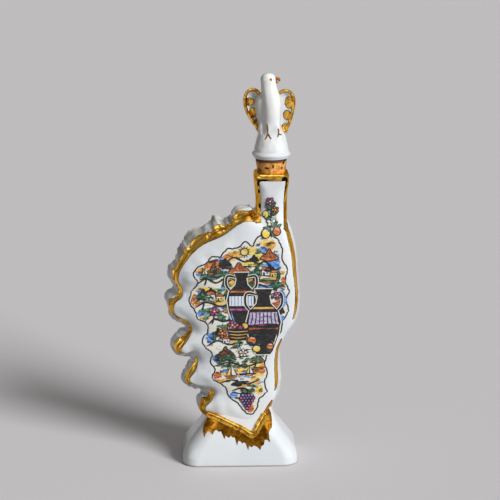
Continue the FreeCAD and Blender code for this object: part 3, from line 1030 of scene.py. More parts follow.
def rod_tree(finish):
    """Round rod along a curve, as thick as the curve's own radius, with lumps in its skin."""
    tree, given = new_tree(
        "swept_rod", Geometry="Geometry", Step="Float", Sides="Int", Lump_Height="Float", Lump_Size="Float",
    )
    even = add(tree, "GeometryNodeResampleCurve", {
        "Curve": given["Geometry"], "Length": given["Step"],
    }, mode="LENGTH")
    ring = add(tree, "GeometryNodeCurvePrimitiveCircle", {"Resolution": given["Sides"], "Radius": 1.0})
    rod = add(tree, "GeometryNodeCurveToMesh", {
        "Curve": even.outputs[0], "Profile Curve": ring.outputs[0],
        "Scale": add(tree, "GeometryNodeInputRadius", {}).outputs[0], "Fill Caps": True,
    })
    pitch = calc(tree, "DIVIDE", 1.0, given["Lump Size"])
    lumps = add(tree, "ShaderNodeTexNoise", {"Scale": pitch, "Detail": 2.0}).outputs["Fac"]
    return end_tree(tree, roughen(tree, rod.outputs[0], lumps, 0.5, given["Lump Height"]), finish)


def sweep(name, tree, points, radii, step, sides=16, lump_height=0.0, lump_size=3.0):
    """Plain mesh of a rod along points, with a radius at each."""
    curve = bpy.data.curves.new(name, "CURVE")
    curve.dimensions = "3D"
    spline = curve.splines.new("POLY")
    spline.points.add(len(points) - 1)
    for knot, point, radius in zip(spline.points, points, radii):
        knot.co = (*(np.asarray(point) * MM), 1.0)
        knot.radius = radius * MM
    return run_tree(new_object(name, curve), tree, {
        "Step": step * MM, "Sides": sides, "Lump Height": lump_height * MM, "Lump Size": lump_size * MM,
    })


def make_beads(gold, rods):
    """Thick gold bead where the flask's lower edge comes out of the foot, front and back."""
    bead_drop = 0.6
    bead_proud = 0.6
    least_depth = 35.5
    flat = smooth_path(bead_path, 10) - (0, bead_drop)
    share = np.linspace(0, 1, len(flat))
    radii = bead_radius * (0.86 + 0.12 * np.sin(math.pi * share) + 0.10 * ease((share - 0.55) / 0.15))
    ends = np.minimum(1.0, np.minimum(share, 1 - share) / 0.03)
    radii *= np.sqrt(1 - (1 - ends) ** 2) * 0.9 + 0.1
    for side, name in ((-1, "seam_bead_front"), (1, "seam_bead_back")):
        y = np.maximum(foot_size(flat[:, 1])[1], least_depth) / 2 + bead_proud
        path = np.stack([flat[:, 0], side * y, flat[:, 1]], 1)
        bead = sweep(name, rods, path, radii, step=0.5, sides=28, lump_height=0.4, lump_size=7.0)
        show(bead, gold, "bottle", "gilding", *(["seam_beads"] if side < 0 else []))


fringe = [                  # lower border of the gold on the foot, from left to right
    (-26.4, 38.2), (-27.3, 33.0), (-28.3, 28.5), (-28.0, 25.2), (-27.2, 27.6), (-27.0, 24.5), (-26.1, 20.4),
    (-25.0, 23.0), (-23.4, 24.9), (-22.2, 24.4), (-20.1, 22.9), (-19.0, 25.4), (-17.4, 26.2), (-15.8, 24.8),
    (-14.2, 25.1), (-13.1, 22.4), (-11.9, 19.6), (-11.0, 22.0), (-9.6, 21.2), (-8.5, 20.5), (-7.4, 22.1),
    (-6.0, 20.7), (-4.5, 20.9), (-3.7, 17.6), (-2.9, 15.2), (-2.0, 18.6), (-0.4, 18.0), (0.9, 16.5),
    (1.7, 17.4), (3.2, 16.6), (4.1, 14.0), (4.9, 11.9), (5.6, 14.9), (7.6, 13.8), (8.7, 15.1), (10.8, 14.5),
    (12.6, 12.9), (13.6, 11.9), (14.3, 14.6), (16.1, 15.6), (16.8, 19.0), (18.6, 18.8), (20.5, 17.1),
    (19.9, 20.6), (19.6, 23.6), (20.6, 25.6), (21.9, 26.6), (22.1, 31.0), (21.6, 35.6), (20.0, 39.4),
    (18.5, 39.6),
]


def make_fringe(gold, skin):
    """Gold brushed down from the bead in points, on the front and back of the foot."""
    upper = smooth_path(bead_path, 6)
    border = np.array(fringe + [tuple(p) for p in upper[::-1]])
    limit = foot_size(border[:, 1])[0] / 2 - foot_trim / 2 - 1.2
    border[:, 0] = np.clip(border[:, 0], foot_x - limit, foot_x + limit)
    ahead = np.roll(border, -1, 0)
    border = np.stack([border * (1 - t) + ahead * t for t in (0.0, 0.25, 0.5, 0.75)], 1).reshape(-1, 2)
    flat, faces = fill_loop(border, 0.7)
    for side, name in ((-1, "foot_gilding_front"), (1, "foot_gilding_back")):
        made = new_object(name, new_mesh(name, lay_on(skin, flat, 0.10, side), faces))
        turn_towards(made.data, side)
        show(made, gold, "bottle", "gilding")


def turn_towards(mesh, side):
    """Turns the faces of a thin film to the front or back."""
    shape = bmesh.new()
    shape.from_mesh(mesh)
    bmesh.ops.reverse_faces(shape, faces=[face for face in shape.faces if face.normal.y * side < 0])
    shape.to_mesh(mesh)
    shape.free()


# Stopper

def cork_tree(finish):
    """Tapered cork with a rough skin."""
    tree, given = new_tree("cork_form", Top_Radius="Float", Low_Radius="Float", Height="Float", Rough="Float")
    cone = add(tree, "GeometryNodeMeshCone", {
        "Vertices": 140, "Side Segments": 46, "Fill Segments": 14, "Radius Top": given["Top Radius"],
        "Radius Bottom": given["Low Radius"], "Depth": given["Height"],
    })
    rough = add(tree, "ShaderNodeTexNoise", {"Scale": 700.0, "Detail": 3.0}).outputs["Fac"]
    placed = add(tree, "GeometryNodeTransform", {
        "Geometry": roughen(tree, cone.outputs[0], rough, 0.58, given["Rough"]),
        "Translation": Vector((neck_x, 0, cork_low_z)) * MM,
    })
    return end_tree(tree, placed.outputs[0], finish)


def pore_tree(finish):
    """Small lumps of many sizes, flat on a surface."""
    tree, given = new_tree("cork_pores", Geometry="Geometry", Density="Float", Size="Float", Seed="Int")
    points = add(tree, "GeometryNodeDistributePointsOnFaces", {
        "Mesh": given["Geometry"], "Density": given["Density"], "Seed": given["Seed"],
    })
    lump = add(tree, "GeometryNodeMeshIcoSphere", {"Radius": given["Size"], "Subdivisions": 2})
    least = (0.45, 0.5, 0.12)
    most = (1.7, 1.6, 0.2)
    scale = add(tree, "FunctionNodeRandomValue", {0: least, 1: most}, data_type="FLOAT_VECTOR")
    spread = add(tree, "GeometryNodeInstanceOnPoints", {
        "Points": points.outputs["Points"], "Instance": lump.outputs[0],
        "Rotation": points.outputs["Rotation"], "Scale": scale.outputs[0],
    })
    return end_tree(tree, spread.outputs[0], finish)


def make_cork_piece(finish, pit_finish):
    """Tapered cork, and its pores as small sunken lumps."""
    cork = new_object("cork_stopper", bpy.data.meshes.new("cork_stopper"))
    cork = run_tree(cork, cork_tree(finish), {
        "Top Radius": cork_radii[1] * MM, "Low Radius": cork_radii[0] * MM,
        "Height": (cork_top_z - cork_low_z) * MM, "Rough": 0.5 * MM,
    })
    # Glue stain and painted shade at the top of the cork, under the mound's rim
    store(cork.data, "glue_and_painted_shade", ease((read_points(cork.data)[:, 2] - glue_and_shade_z) / 1.1))
    show(cork, finish, "stopper", "natural_cork", "cork")
    pores = new_object("cork_pores", cork.data.copy())
    pores = run_tree(pores, pore_tree(pit_finish), {"Density": 26000.0, "Size": 1.05 * MM, "Seed": 5})
    show(pores, pit_finish, "stopper", "natural_cork")


dove_rings = [              # z, centre x, half width, centre y, half depth
    (233.0, 22.6, 9.0, 0.0, 8.6),
    (237.0, 22.4, 7.6, -0.6, 7.9),
    (241.0, 22.0, 6.8, -1.2, 7.4),
    (246.0, 21.8, 6.5, -1.6, 7.4),
    (251.0, 21.8, 6.6, -1.8, 7.8),
    (256.0, 22.0, 6.8, -1.8, 7.6),
    (260.5, 21.6, 6.6, -1.7, 6.9),
    (264.0, 20.8, 6.1, -1.6, 6.1),
    (267.5, 20.0, 5.6, -1.5, 5.4),
    (271.0, 19.6, 5.35, -1.5, 5.0),
    (274.5, 19.5, 5.15, -1.5, 4.7),
    (277.0, 19.5, 3.5, -1.5, 3.1),
    (278.0, 19.5, 1.1, -1.5, 1.2),
]
back_rings = [
    (233.0, 19.0, 6.5, 1.5, 6.0),
    (239.0, 18.2, 5.6, 2.0, 6.0),
    (246.0, 17.0, 5.6, 2.4, 6.2),
    (253.0, 16.6, 6.4, 2.4, 6.4),
    (258.0, 16.8, 6.4, 1.8, 6.0),
    (262.5, 17.8, 4.6, 0.8, 4.6),
    (265.5, 18.6, 2.2, 0.0, 2.6),
]
tail_x = 20.5
tail_rings = [              # z, centre y, half width, half depth
    (249.0, 4.0, 4.5, 3.0), (244.0, 8.6, 4.9, 2.2), (239.5, 11.6, 5.4, 1.7), (236.5, 13.4, 5.2, 1.3),
]
dove_lumps = [              # centre, half width, half depth and half height of the head, thighs and flank
    ((19.5, -1.5, 273.0), 5.45, 4.9, 5.0),
    ((18.8, -5.2, 240.0), 2.0, 3.6, 8.0),
    ((26.0, -4.8, 239.0), 2.1, 3.6, 7.5),
    ((14.4, -1.0, 238.0), 2.0, 4.0, 8.0),
]
mound_profile = [           # radius and z, from the peg's end up
    (4.0, 209.6), (4.0, 218.6), (11.2, 218.6), (12.3, 218.9), (12.7, 219.5), (12.75, 220.0), (13.2, 220.6),
    (13.55, 221.4), (13.3, 222.3), (12.6, 223.0), (12.15, 223.7), (11.9, 225.4), (11.1, 228.2),
    (10.3, 231.0), (9.7, 234.0), (9.0, 236.0),
]


def ball(centre, half_x, half_y, half_z, count=32):
    """Closed rounded lump."""
    rings = []
    for step in range(1, count // 2):
        angle = math.pi * step / (count // 2)
        ring = round_ring(half_x * math.sin(angle), half_y * math.sin(angle), 0.0, centre[:2], count)
        ring[:, 2] = centre[2] - half_z * math.cos(angle)
        rings.append(ring)
    return stack(rings)


def oval_stack(rows):
    """Closed lump through rows of z, centre x, half width, centre y and half depth."""
    rows = smooth_path(rows, 3)
    return stack([round_ring(half_x, half_y, z, (x, y)) for z, x, half_x, y, half_y in rows])


def make_dove(finish):
    """Upright bird that runs down into a flared mound."""
    mound = [round_ring(radius, radius, z, (neck_x, 0)) for radius, z in mound_profile]
    tail = [round_ring(half_x, half_y, z, (tail_x, y), 32) for z, y, half_x, half_y in tail_rings]
    shells = [oval_stack(dove_rings), oval_stack(back_rings), stack(mound), stack(tail)]
    shells += [ball(*lump) for lump in dove_lumps]
    made = melt("dove_and_mound", shells, 0.42)
    relax(made.data, 45, band(read_points(made.data)[:, 2], 226, 8, 268, 8))
    relax(made.data, 10)
    points = read_points(made.data)
    skirt = band(points[:, 2], 225, 4, 248, 6)
    folds = wander(points * (1, 1, 0.6), 4.2, 2.0) - 0.1
    write_points(made.data, points + outward(made.data) * (0.5 * skirt * folds)[:, None])
    return show(made, finish, "stopper", "finial_porcelain", "dove_body", "finial_mound")


wing_rim = 1.35             # radius of the rolled rim
wing_web = 0.65             # half thickness of the plate inside it
wing_gold = 2.3             # how far the rim's gold reaches in
wing_roots = {"left": 17.0, "right": 24.0}          # x where each wing leaves the back
wing_borders = {
    "left": [
        (15.0, 262.4), (13.0, 265.1), (11.0, 266.4), (8.5, 266.7), (5.6, 265.7), (3.4, 263.1), (2.4, 259.3),
        (2.7, 254.2), (4.3, 249.4), (7.3, 243.9), (10.4, 239.4), (13.2, 235.6), (17.0, 239.8), (18.0, 249.4),
    ],
    "right": [
        (24.8, 261.4), (26.6, 263.5), (29.0, 265.2), (31.6, 265.8), (34.8, 264.9), (37.2, 262.3),
        (38.4, 258.6), (38.3, 253.9), (37.2, 248.5), (35.3, 241.9), (33.6, 237.9), (32.0, 234.9),
        (26.0, 238.9), (23.0, 248.9),
    ],
}
wing_tongues = {            # x, z, half width and half height of the gold inside the rim
    "left": [(6.6, 257.0, 3.8, 3.0), (9.2, 249.4, 3.0, 3.5), (12.4, 241.6, 2.6, 3.6)],
    "right": [(34.0, 256.3, 3.0, 4.4), (32.6, 247.5, 2.8, 3.6), (31.8, 239.0, 3.0, 2.8)],
}


def wing_half(distance):
    """Half the wing's thickness at each distance in from its edge."""
    rim = np.sqrt(np.maximum(0.0, wing_rim ** 2 - (distance - wing_rim) ** 2))
    web = wing_web * ease(distance / 0.8)
    inner = np.maximum(rim * ease((2.9 - distance) / 1.4), web)
    half = np.where(distance < wing_rim, np.maximum(rim, web), inner)
    half[distance < 0.02] = 0.0
    return half


def gild_wing(flat, distance, tongues):
    """How far inside the gold of the rim and its tongues each place lies."""
    x, z = flat.T
    gold = [2.4 * (1 - np.hypot((x - a) / wide, (z - b) / tall)) for a, b, wide, tall in tongues]
    return np.maximum(wing_gold - distance, np.max(gold, 0))


def make_wing(side, finish):
    """Raised wing: a thin curved plate in a thick rolled rim, gilded on the rim and in three tongues."""
    loop = smooth_loop(wing_borders[side], 10)
    if np.cross(loop, np.roll(loop, -1, 0)).sum() < 0:
        loop = loop[::-1]
    flat, faces = fill_loop(loop, 0.55)
    distance = np.maximum(Edge(loop).measure(flat)[0], 0.0)
    half = wing_half(distance)
    middle = 4.6 - 0.16 * np.abs(flat[:, 0] - wing_roots[side]) + 2.0 * ease((distance - 1.0) / 3.0)
    shells = []
    for turn in (-1, 1):
        shells.append((np.stack([flat[:, 0], middle + turn * half, flat[:, 1]], 1), faces))
    name = "wing_plate_" + side
    made = new_object(name, new_mesh(name, *join(shells)))
    near = nearest(flat_tree(flat), read_points(made.data)[:, [0, 2]])
    store(made.data, "gold_level", gild_wing(flat, distance, wing_tongues[side])[near])
    return show(made, finish, "stopper", "finial_porcelain", "wing_" + side)


beak_lines = {              # points of each half, and its radius at shares of its length
    "beak_upper": (
        [(23.9, -2.0, 273.3), (25.4, -2.6, 274.0), (26.7, -3.1, 273.5), (27.1, -3.3, 272.2)],
        [(0, 1.45), (0.4, 1.25), (0.8, 0.85), (1, 0.4)],
    ),
    "beak_lower": (
        [(23.9, -2.0, 272.0), (25.1, -2.5, 271.4), (25.8, -2.8, 270.9)],
        [(0, 1.0), (1, 0.5)],
    ),
}
eye_place = (21.0, 274.0)
leg_lines = {
    "leg_left": [(18.5, 243.6), (18.9, 240.0), (19.0, 236.8)],
    "toe_left_out": [(19.0, 237.0), (18.2, 234.8), (17.2, 233.0)],
    "toe_left_in": [(19.0, 237.0), (20.2, 235.0), (21.2, 233.4)],
    "leg_right": [(26.2, 240.4), (26.4, 238.4), (26.3, 236.9)],
    "toe_right_out": [(26.3, 237.0), (26.1, 235.6), (25.6, 234.5)],
    "toe_right_in": [(26.3, 237.0), (27.4, 236.2), (28.4, 235.7)],
}
leg_radii = [(0, 0.5), (0.3, 0.62), (1, 0.4)]


def spread_radii(count, radii):
    """Radius at each of a number of points, from radii at shares of the length."""
    return np.interp(np.linspace(0, 1, count), *zip(*radii))


def make_dove_paint(copper, brown, rods, skin):
    """Coppery gold beak and eyes, and the legs painted in brown."""
    for name, (points, radii) in beak_lines.items():
        path = smooth_path(points, 6)
        beak = sweep(name, rods, path, spread_radii(len(path), radii), step=0.25)
        show(beak, copper, "stopper", "gilding")
    for side, name in ((-1, "eye_front"), (1, "eye_back")):
        place = lay_on(skin, [eye_place], -0.25, side)[0]
        eye = new_object(name, new_mesh(name, *ball(place, 1.0, 0.6, 1.0, 24)))
        show(eye, copper, "stopper", "gilding")
    for name, flat in leg_lines.items():
        path = lay_on(skin, smooth_path(flat, 8), -0.12)
        leg = sweep(name, rods, path, spread_radii(len(path), leg_radii), step=0.3, sides=10)
        show(leg, brown, "stopper", "gilding")


# Print

inks = {                    # each ink's colour, and the second one that shows through in strokes
    "line": ((0.012, 0.012, 0.014), (0.03, 0.03, 0.035)),
    "paper": ((0.80, 0.81, 0.79), (0.82, 0.76, 0.60)),
    "white": ((0.80, 0.81, 0.80), (0.74, 0.76, 0.78)),
    "ochre": ((0.74, 0.38, 0.04), (0.84, 0.60, 0.24)),
    "yellow": ((0.90, 0.60, 0.05), (0.86, 0.74, 0.32)),
    "rust": ((0.42, 0.08, 0.02), (0.72, 0.27, 0.07)),
    "sky": ((0.06, 0.20, 0.62), (0.30, 0.50, 0.80)),
    "soil": ((0.06, 0.028, 0.014), (0.30, 0.15, 0.06)),
    "leaf": ((0.025, 0.11, 0.05), (0.16, 0.32, 0.17)),
    "pine": ((0.012, 0.05, 0.035), (0.04, 0.12, 0.08)),
    "plum": ((0.25, 0.03, 0.14), (0.55, 0.20, 0.40)),
    "lilac": ((0.36, 0.30, 0.52), (0.66, 0.62, 0.78)),
    "dark": ((0.010, 0.010, 0.013), (0.035, 0.03, 0.03)),
}


class Print:
    """Flat shapes in x and z, one over another, that are laid on the face together."""

    def __init__(self):
        self.parts = []
        self.inks = []
        self.layer = 0.05

    def raise_layer(self):
        self.layer += 0.018

    def fill(self, loop, ink, line=0.0):
        """Filled loop, with a black outline if a width is given."""
        flat, faces = fill_loop(np.asarray(loop, float), 1.6)
        self.parts.append((np.column_stack([flat, np.full(len(flat), self.layer)]), faces))
        self.inks += [ink] * len(faces)
        if line:
            self.stroke(loop, line, closed=True, above=0.009)

    def stroke(self, path, width, ink="line", closed=False, above=0.0):
        """Ribbon of ink along a path, thinner at the ends of an open one."""
        path = np.asarray(path, float)
        width *= 1.35 if ink == "line" else 1.0
        if closed:
            along = np.roll(path, -1, 0) - np.roll(path, 1, 0)
            half = np.full(len(path), width / 2)
        else:
            along = np.gradient(path, axis=0)
            half = width / 2 * np.interp(np.linspace(0, 1, len(path)), (0, 0.15, 0.85, 1), (0.45, 1, 1, 0.45))
        along = along / np.maximum(np.linalg.norm(along, axis=1, keepdims=True), 1e-9)
        across = np.stack([-along[:, 1], along[:, 0]], 1) * half[:, None]
        flat = np.vstack([path + across, path - across])
        count = len(path)
        faces = []
        for i in range(count if closed else count - 1):
            j = (i + 1) % count
            faces.append((i, j, j + count, i + count))
        self.parts.append((np.column_stack([flat, np.full(len(flat), self.layer + above)]), faces))
        self.inks += [ink] * len(faces)


panel = [                   # border of the vignette
    (16.0, 168.0), (10.0, 164.0), (8.0, 160.0), (3.0, 163.0), (-3.0, 158.5), (-9.0, 158.5), (-14.0, 153.0),
    (-20.0, 152.5), (-24.0, 147.5), (-30.0, 145.0), (-33.0, 139.0), (-29.5, 134.0), (-33.5, 128.0),
    (-36.0, 119.0), (-31.5, 113.5), (-30.5, 108.0), (-24.0, 104.5), (-23.0, 98.0), (-27.0, 92.5),
    (-24.0, 86.0), (-20.0, 82.5), (-21.5, 76.0), (-18.0, 71.0), (-20.5, 65.0), (-15.0, 60.5), (-10.5, 56.5),
    (-8.0, 49.5), (-2.0, 46.0), (1.0, 41.0), (7.0, 37.0), (11.5, 42.0), (12.5, 48.0), (18.0, 54.0),
    (16.5, 61.0), (18.5, 68.0), (16.5, 76.0), (20.0, 84.0), (22.5, 92.0), (28.0, 98.0), (29.2, 106.0),
    (33.4, 113.0), (31.8, 121.0), (33.6, 128.0), (30.4, 135.0), (32.2, 143.0), (28.6, 151.0),
    (28.6, 158.0), (24.0, 166.0),
]


def jagged(loop, amount, seed):
    """Loop with its edge broken up like a hand-cut stencil."""
    ahead = np.roll(loop, -1, 0)
    dense = np.vstack([loop * (1 - t) + ahead * t for t in (0.0, 0.5)]).reshape(2, -1, 2)
    dense = dense.transpose(1, 0, 2).reshape(-1, 2)
    along = unit(np.roll(dense, -1, 0) - np.roll(dense, 1, 0) + 1e-9)
    spots = np.column_stack([dense, np.zeros(len(dense))])
    push = amount * (wander(spots, 2.6, seed) + 0.5 * wander(spots, 1.1, seed + 3))
    return dense + np.stack([along[:, 1], -along[:, 0]], 1) * push[:, None]


def turned(shape, x, z, angle=0.0, size=1.0):
    """Shape's points scaled, turned and moved."""
    c, s = math.cos(angle) * size, math.sin(angle) * size
    shape = np.asarray(shape, float)
    return np.stack([x + shape[:, 0] * c - shape[:, 1] * s, z + shape[:, 0] * s + shape[:, 1] * c], 1)


def oval(x, z, wide, tall, angle=0.0, count=20):
    """Ellipse of half a width and half a height, turned by an angle."""
    turn = np.arange(count) * math.tau / count
    return turned(np.stack([wide * np.cos(turn), tall * np.sin(turn)], 1), x, z, angle)


def rectangle(left, right, low, high):
    """Corners of an upright rectangle."""
    return [(left, low), (right, low), (right, high), (left, high)]


def leaf(sheet, x, z, angle, length, ink="leaf"):
    """Pointed leaf with a black edge and a vein."""
    t = np.linspace(0, 1, 9)
    side = 0.24 * np.sin(math.pi * t ** 0.8)
    blade = np.vstack([np.stack([t, side], 1), np.stack([t[::-1], -side[::-1]], 1)[1:-1]])
    sheet.fill(turned(blade, x, z, angle, length), ink, 0.4)
    sheet.stroke(turned([(0.05, 0), (0.4, 0.01), (0.85, 0)], x, z, angle, length), 0.3, above=0.012)


def flower(sheet, x, z, size, ink, start=0.3):
    """Open flower with five round petals and a yellow eye."""
    for k in range(5):
        angle = start + math.tau * k / 5
        petal_x = x + size * 0.62 * math.cos(angle)
        petal_z = z + size * 0.62 * math.sin(angle)
        sheet.fill(oval(petal_x, petal_z, size * 0.46, size * 0.36, angle, 14), ink, 0.42)
    sheet.raise_layer()
    sheet.fill(oval(x, z, size * 0.3, size * 0.3, 0, 12), "yellow", 0.4)


def fruit(sheet, x, z, size, ink, tall=1.0):
    """Round fruit with a pale cheek and one leaf."""
    sheet.fill(oval(x, z, size, size * tall), ink, 0.5)
    sheet.stroke(oval(x, z, size * 0.6, size * 0.6 * tall)[2:8], 0.5, "white", above=0.012)
    leaf(sheet, x + size * 0.1, z + size * tall * 0.9, 0.5, size * 1.3)


def cypress(sheet, x, z, height):
    """Narrow dark tree on a short trunk."""
    shape = [
        (0, 0), (0.13, 0.06), (0.17, 0.3), (0.12, 0.62), (0.04, 0.9), (0, 1), (-0.05, 0.88), (-0.13, 0.6),
        (-0.17, 0.3), (-0.12, 0.05),
    ]
    sheet.stroke([(x, z - height * 0.15), (x, z)], 0.7)
    sheet.fill(jagged(smooth_loop(turned(shape, x, z, 0, height), 3), 0.35, x + z), "pine")
    sheet.stroke(turned([(-0.02, 0.2), (0.03, 0.5), (0.0, 0.8)], x, z, 0, height), 0.5, "leaf", above=0.012)


def palm(sheet, x, z, height):
    """Leaning trunk under a fan of drooping fronds."""
    top = (x + height * 0.12, z + height * 0.7)
    sheet.stroke(smooth_path([(x, z), (x + height * 0.1, z + height * 0.35), top], 4), 0.9, "dark")
    for k in range(8):
        angle = -0.45 + k * (math.pi + 0.9) / 7
        rise = 0.26 * height * math.sin(angle)
        out = (top[0] + 0.30 * height * math.cos(angle), top[1] + rise)
        tip = (top[0] + 0.52 * height * math.cos(angle), top[1] + rise - 0.12 * height)
        ink = "pine" if k % 2 else "leaf"
        sheet.stroke(smooth_path([top, out, tip], 4), 1.0, ink, above=0.004 + 0.001 * k)


def bush(sheet, x, z, size):
    """Low tree with three ragged tufts."""
    sheet.stroke([(x, z - size), (x + 0.2, z)], 0.8)
    for dx, dz, share in ((-0.55, 0.1, 0.6), (0.55, 0.15, 0.55), (0.0, 0.5, 0.65)):
        tuft = oval(x + dx * size, z + dz * size, share * size, share * size * 0.7, 0, 12)
        sheet.fill(jagged(tuft, 0.5, x * 0.7 + dx), "pine" if dx > 0 else "leaf")


def house(sheet, x, z, width, wall="paper"):
    """Low house with a tiled roof, a door and a window."""
    tall = width * 0.7
    eaves = z + tall
    ridge = z + tall * 1.6
    sheet.fill(rectangle(x, x + width, z, eaves), wall, 0.4)
    low = [(x - 0.12 * width, eaves), (x + 1.12 * width, eaves)]
    sheet.fill(low + [(x + 0.8 * width, ridge), (x + 0.2 * width, ridge)], "rust", 0.4)
    sheet.raise_layer()
    sheet.fill(rectangle(x + 0.15 * width, x + 0.4 * width, z, z + tall * 0.6), "dark")
    window = rectangle(x + 0.6 * width, x + 0.82 * width, z + tall * 0.35, z + tall * 0.7)
    sheet.fill(window, "sky", 0.25)


def boat(sheet, x, z, size):
    """Small boat with two sails."""
    sheet.fill(turned([(-0.5, 0), (0.5, 0), (0.35, -0.2), (-0.35, -0.2)], x, z, 0, size), "rust", 0.4)
    sheet.stroke(turned([(0, 0), (0, 0.5), (0, 1.0)], x, z, 0, size), 0.5)
    sheet.fill(turned([(0.04, 0.08), (0.45, 0.1), (0.04, 0.95)], x, z, 0, size), "white", 0.35)
    sheet.fill(turned([(-0.04, 0.08), (-0.36, 0.1), (-0.04, 0.8)], x, z, 0, size), "yellow", 0.35)


def sun(sheet, x, z, size):
    """Sun with pointed rays."""
    for k in range(12):
        ray = turned([(1.15, -0.13), (1.75, 0.0), (1.15, 0.13)], x, z, math.tau * k / 12, size)
        sheet.fill(ray, "rust" if k % 2 else "yellow", 0.28)
    sheet.fill(oval(x, z, size, size), "yellow", 0.5)


def grapes(sheet, x, z, size):
    """Hanging bunch of grapes."""
    for row, count in enumerate((4, 5, 4, 3, 2, 1)):
        for k in range(count):
            middle = x + (k - (count - 1) / 2) * size * 1.6
            berry = oval(middle, z - row * size * 1.45, size, size, 0, 12)
            sheet.fill(berry, "plum" if (row + k) % 3 else "sky", 0.4)
    sheet.stroke([(x, z + size * 3), (x - 0.2, z + size)], 0.7)
    leaf(sheet, x, z + size * 1.6, 2.6, size * 4.2)
    leaf(sheet, x, z + size * 1.6, 0.45, size * 4.2)


jar_profile = [             # half width and height, as shares of the jar's height
    (0.10, 0.0), (0.13, 0.04), (0.22, 0.30), (0.25, 0.50), (0.21, 0.66), (0.10, 0.78), (0.08, 0.90),
    (0.13, 1.0),
]


def jar_half(level):
    """Half width of the jar's painted bands at a share of its height."""
    widths, levels = zip(*jar_profile)
    return np.interp(level, levels, widths) * 0.93


def jar_handle(side):
    """Line of the handle on one side."""
    line = [(0.09, 0.92), (0.25, 0.94), (0.27, 0.78), (0.19, 0.66)]
    return smooth_path([(side * x, z) for x, z in line], 5)


def jar_fold(share, low, high):
    """Upright line on a band, a share of the way to its side."""
    middle = (low + high) / 2
    return smooth_path([
        (share * jar_half(low), low),
        (share * jar_half(middle) * 0.9, middle),
        (share * jar_half(high), high),
    ], 4)


def jug(sheet, x, z, height, bands, folds, cross):
    """Tall two-handled jar with painted bands, upright lines on one of them and, if asked, cross lines."""
    def placed(shape):
        return turned(shape, x, z, 0, height)

    body = placed(np.vstack([jar_profile, [(-a, b) for a, b in jar_profile[::-1]]]))
    handles = [placed(jar_handle(side)) for side in (-1, 1)]
    for handle in handles:
        sheet.stroke(handle, 2.5, "paper")
    sheet.stroke(body, 2.0, "paper", closed=True)
    sheet.raise_layer()
    for handle in handles:
        sheet.stroke(handle, 1.5, "dark")
    sheet.fill(body, "dark", 0.5)
    sheet.raise_layer()
    for low, high, ink in bands:
        below, above = jar_half((low, high))
        sheet.fill(placed([(-below, low), (below, low), (above, high), (-above, high)]), ink)
    low, high, ink = folds
    for share in np.linspace(-0.85, 0.85, 7):
        sheet.stroke(placed(jar_fold(share, low, high)), 0.6, ink, above=0.01)
    for level in np.linspace(low, high, 4) if cross else ():
        half = jar_half(level)
        sheet.stroke(placed([(-half, level), (0.0, level - 0.01), (half, level)]), 0.45, "plum", above=0.012)
    sheet.stroke(placed([(-0.12, 0.08), (-0.165, 0.2), (-0.18, 0.29)]), 0.8, "sky", above=0.01)


def basket(sheet, x, z, width):
    """Dark woven basket heaped with fruit."""
    for k, ink in enumerate(("yellow", "rust", "plum", "ochre")):
        spot = x + (k - 1.5) * width * 0.21
        level = z + width * 0.28 + (k % 2) * width * 0.1
        sheet.fill(oval(spot, level, width * 0.16, width * 0.15), ink, 0.45)
    sheet.raise_layer()
    side = [(-0.5, 0.22), (0.5, 0.22), (0.36, -0.3), (-0.36, -0.3)]
    sheet.fill(turned(side, x, z, 0, width), "dark", 0.5)
    sheet.raise_layer()
    for k in range(3):
        half = 0.46 - 0.05 * k
        level = 0.13 - 0.15 * k
        cane = [(-half, level), (0.0, 0.09 - 0.15 * k), (half, level)]
        sheet.stroke(turned(smooth_path(cane, 4), x, z, 0, width), 0.55, "ochre")


def peak(sheet, x, z, width, height, ink="soil"):
    """Craggy hill with dark hatching down one side."""
    shape = np.asarray([
        (-0.5, 0), (-0.3, 0.45), (-0.18, 0.5), (-0.04, 0.95), (0.06, 1.0), (0.16, 0.7), (0.3, 0.6), (0.5, 0),
    ])
    shape = shape * (width, height) + (x, z)
    sheet.fill(jagged(smooth_loop(shape, 3), 0.5, x), ink, 0.55)
    for k in range(6):
        t = 0.06 + 0.07 * k
        line = [(x + t * width, z + height * (0.85 - 0.12 * k)), (x + (t - 0.05) * width, z + height * 0.1)]
        sheet.stroke(line, 0.7, "line", above=0.01)


def hatch(sheet, border):
    """Small tufts of black pen strokes all over the ground."""
    draw = random.Random(8)
    edge = Edge(border)
    placed = 0
    while placed < 210:
        x, z = draw.uniform(-36, 31), draw.uniform(40, 166)
        if edge.measure(np.array([(x, z)]))[0][0] < 2.5:
            continue
        placed += 1
        lean = draw.uniform(-0.5, 0.5)
        for k in range(3):
            foot = x + (k - 1) * 0.9
            tall = draw.uniform(0.9, 2.2)
            ink = draw.choice(("line", "line", "pine", "soil"))
            sheet.stroke([(foot, z), (foot + lean, z + tall)], 0.7, ink)


def waves(sheet, x, z, length):
    """Row of little white crests."""
    steps = np.linspace(0, 1, 25)
    crest = np.stack([x + steps * length, z + 0.5 * np.abs(np.sin(steps * math.pi * length / 4))], 1)
    sheet.stroke(crest, 0.55, "white")


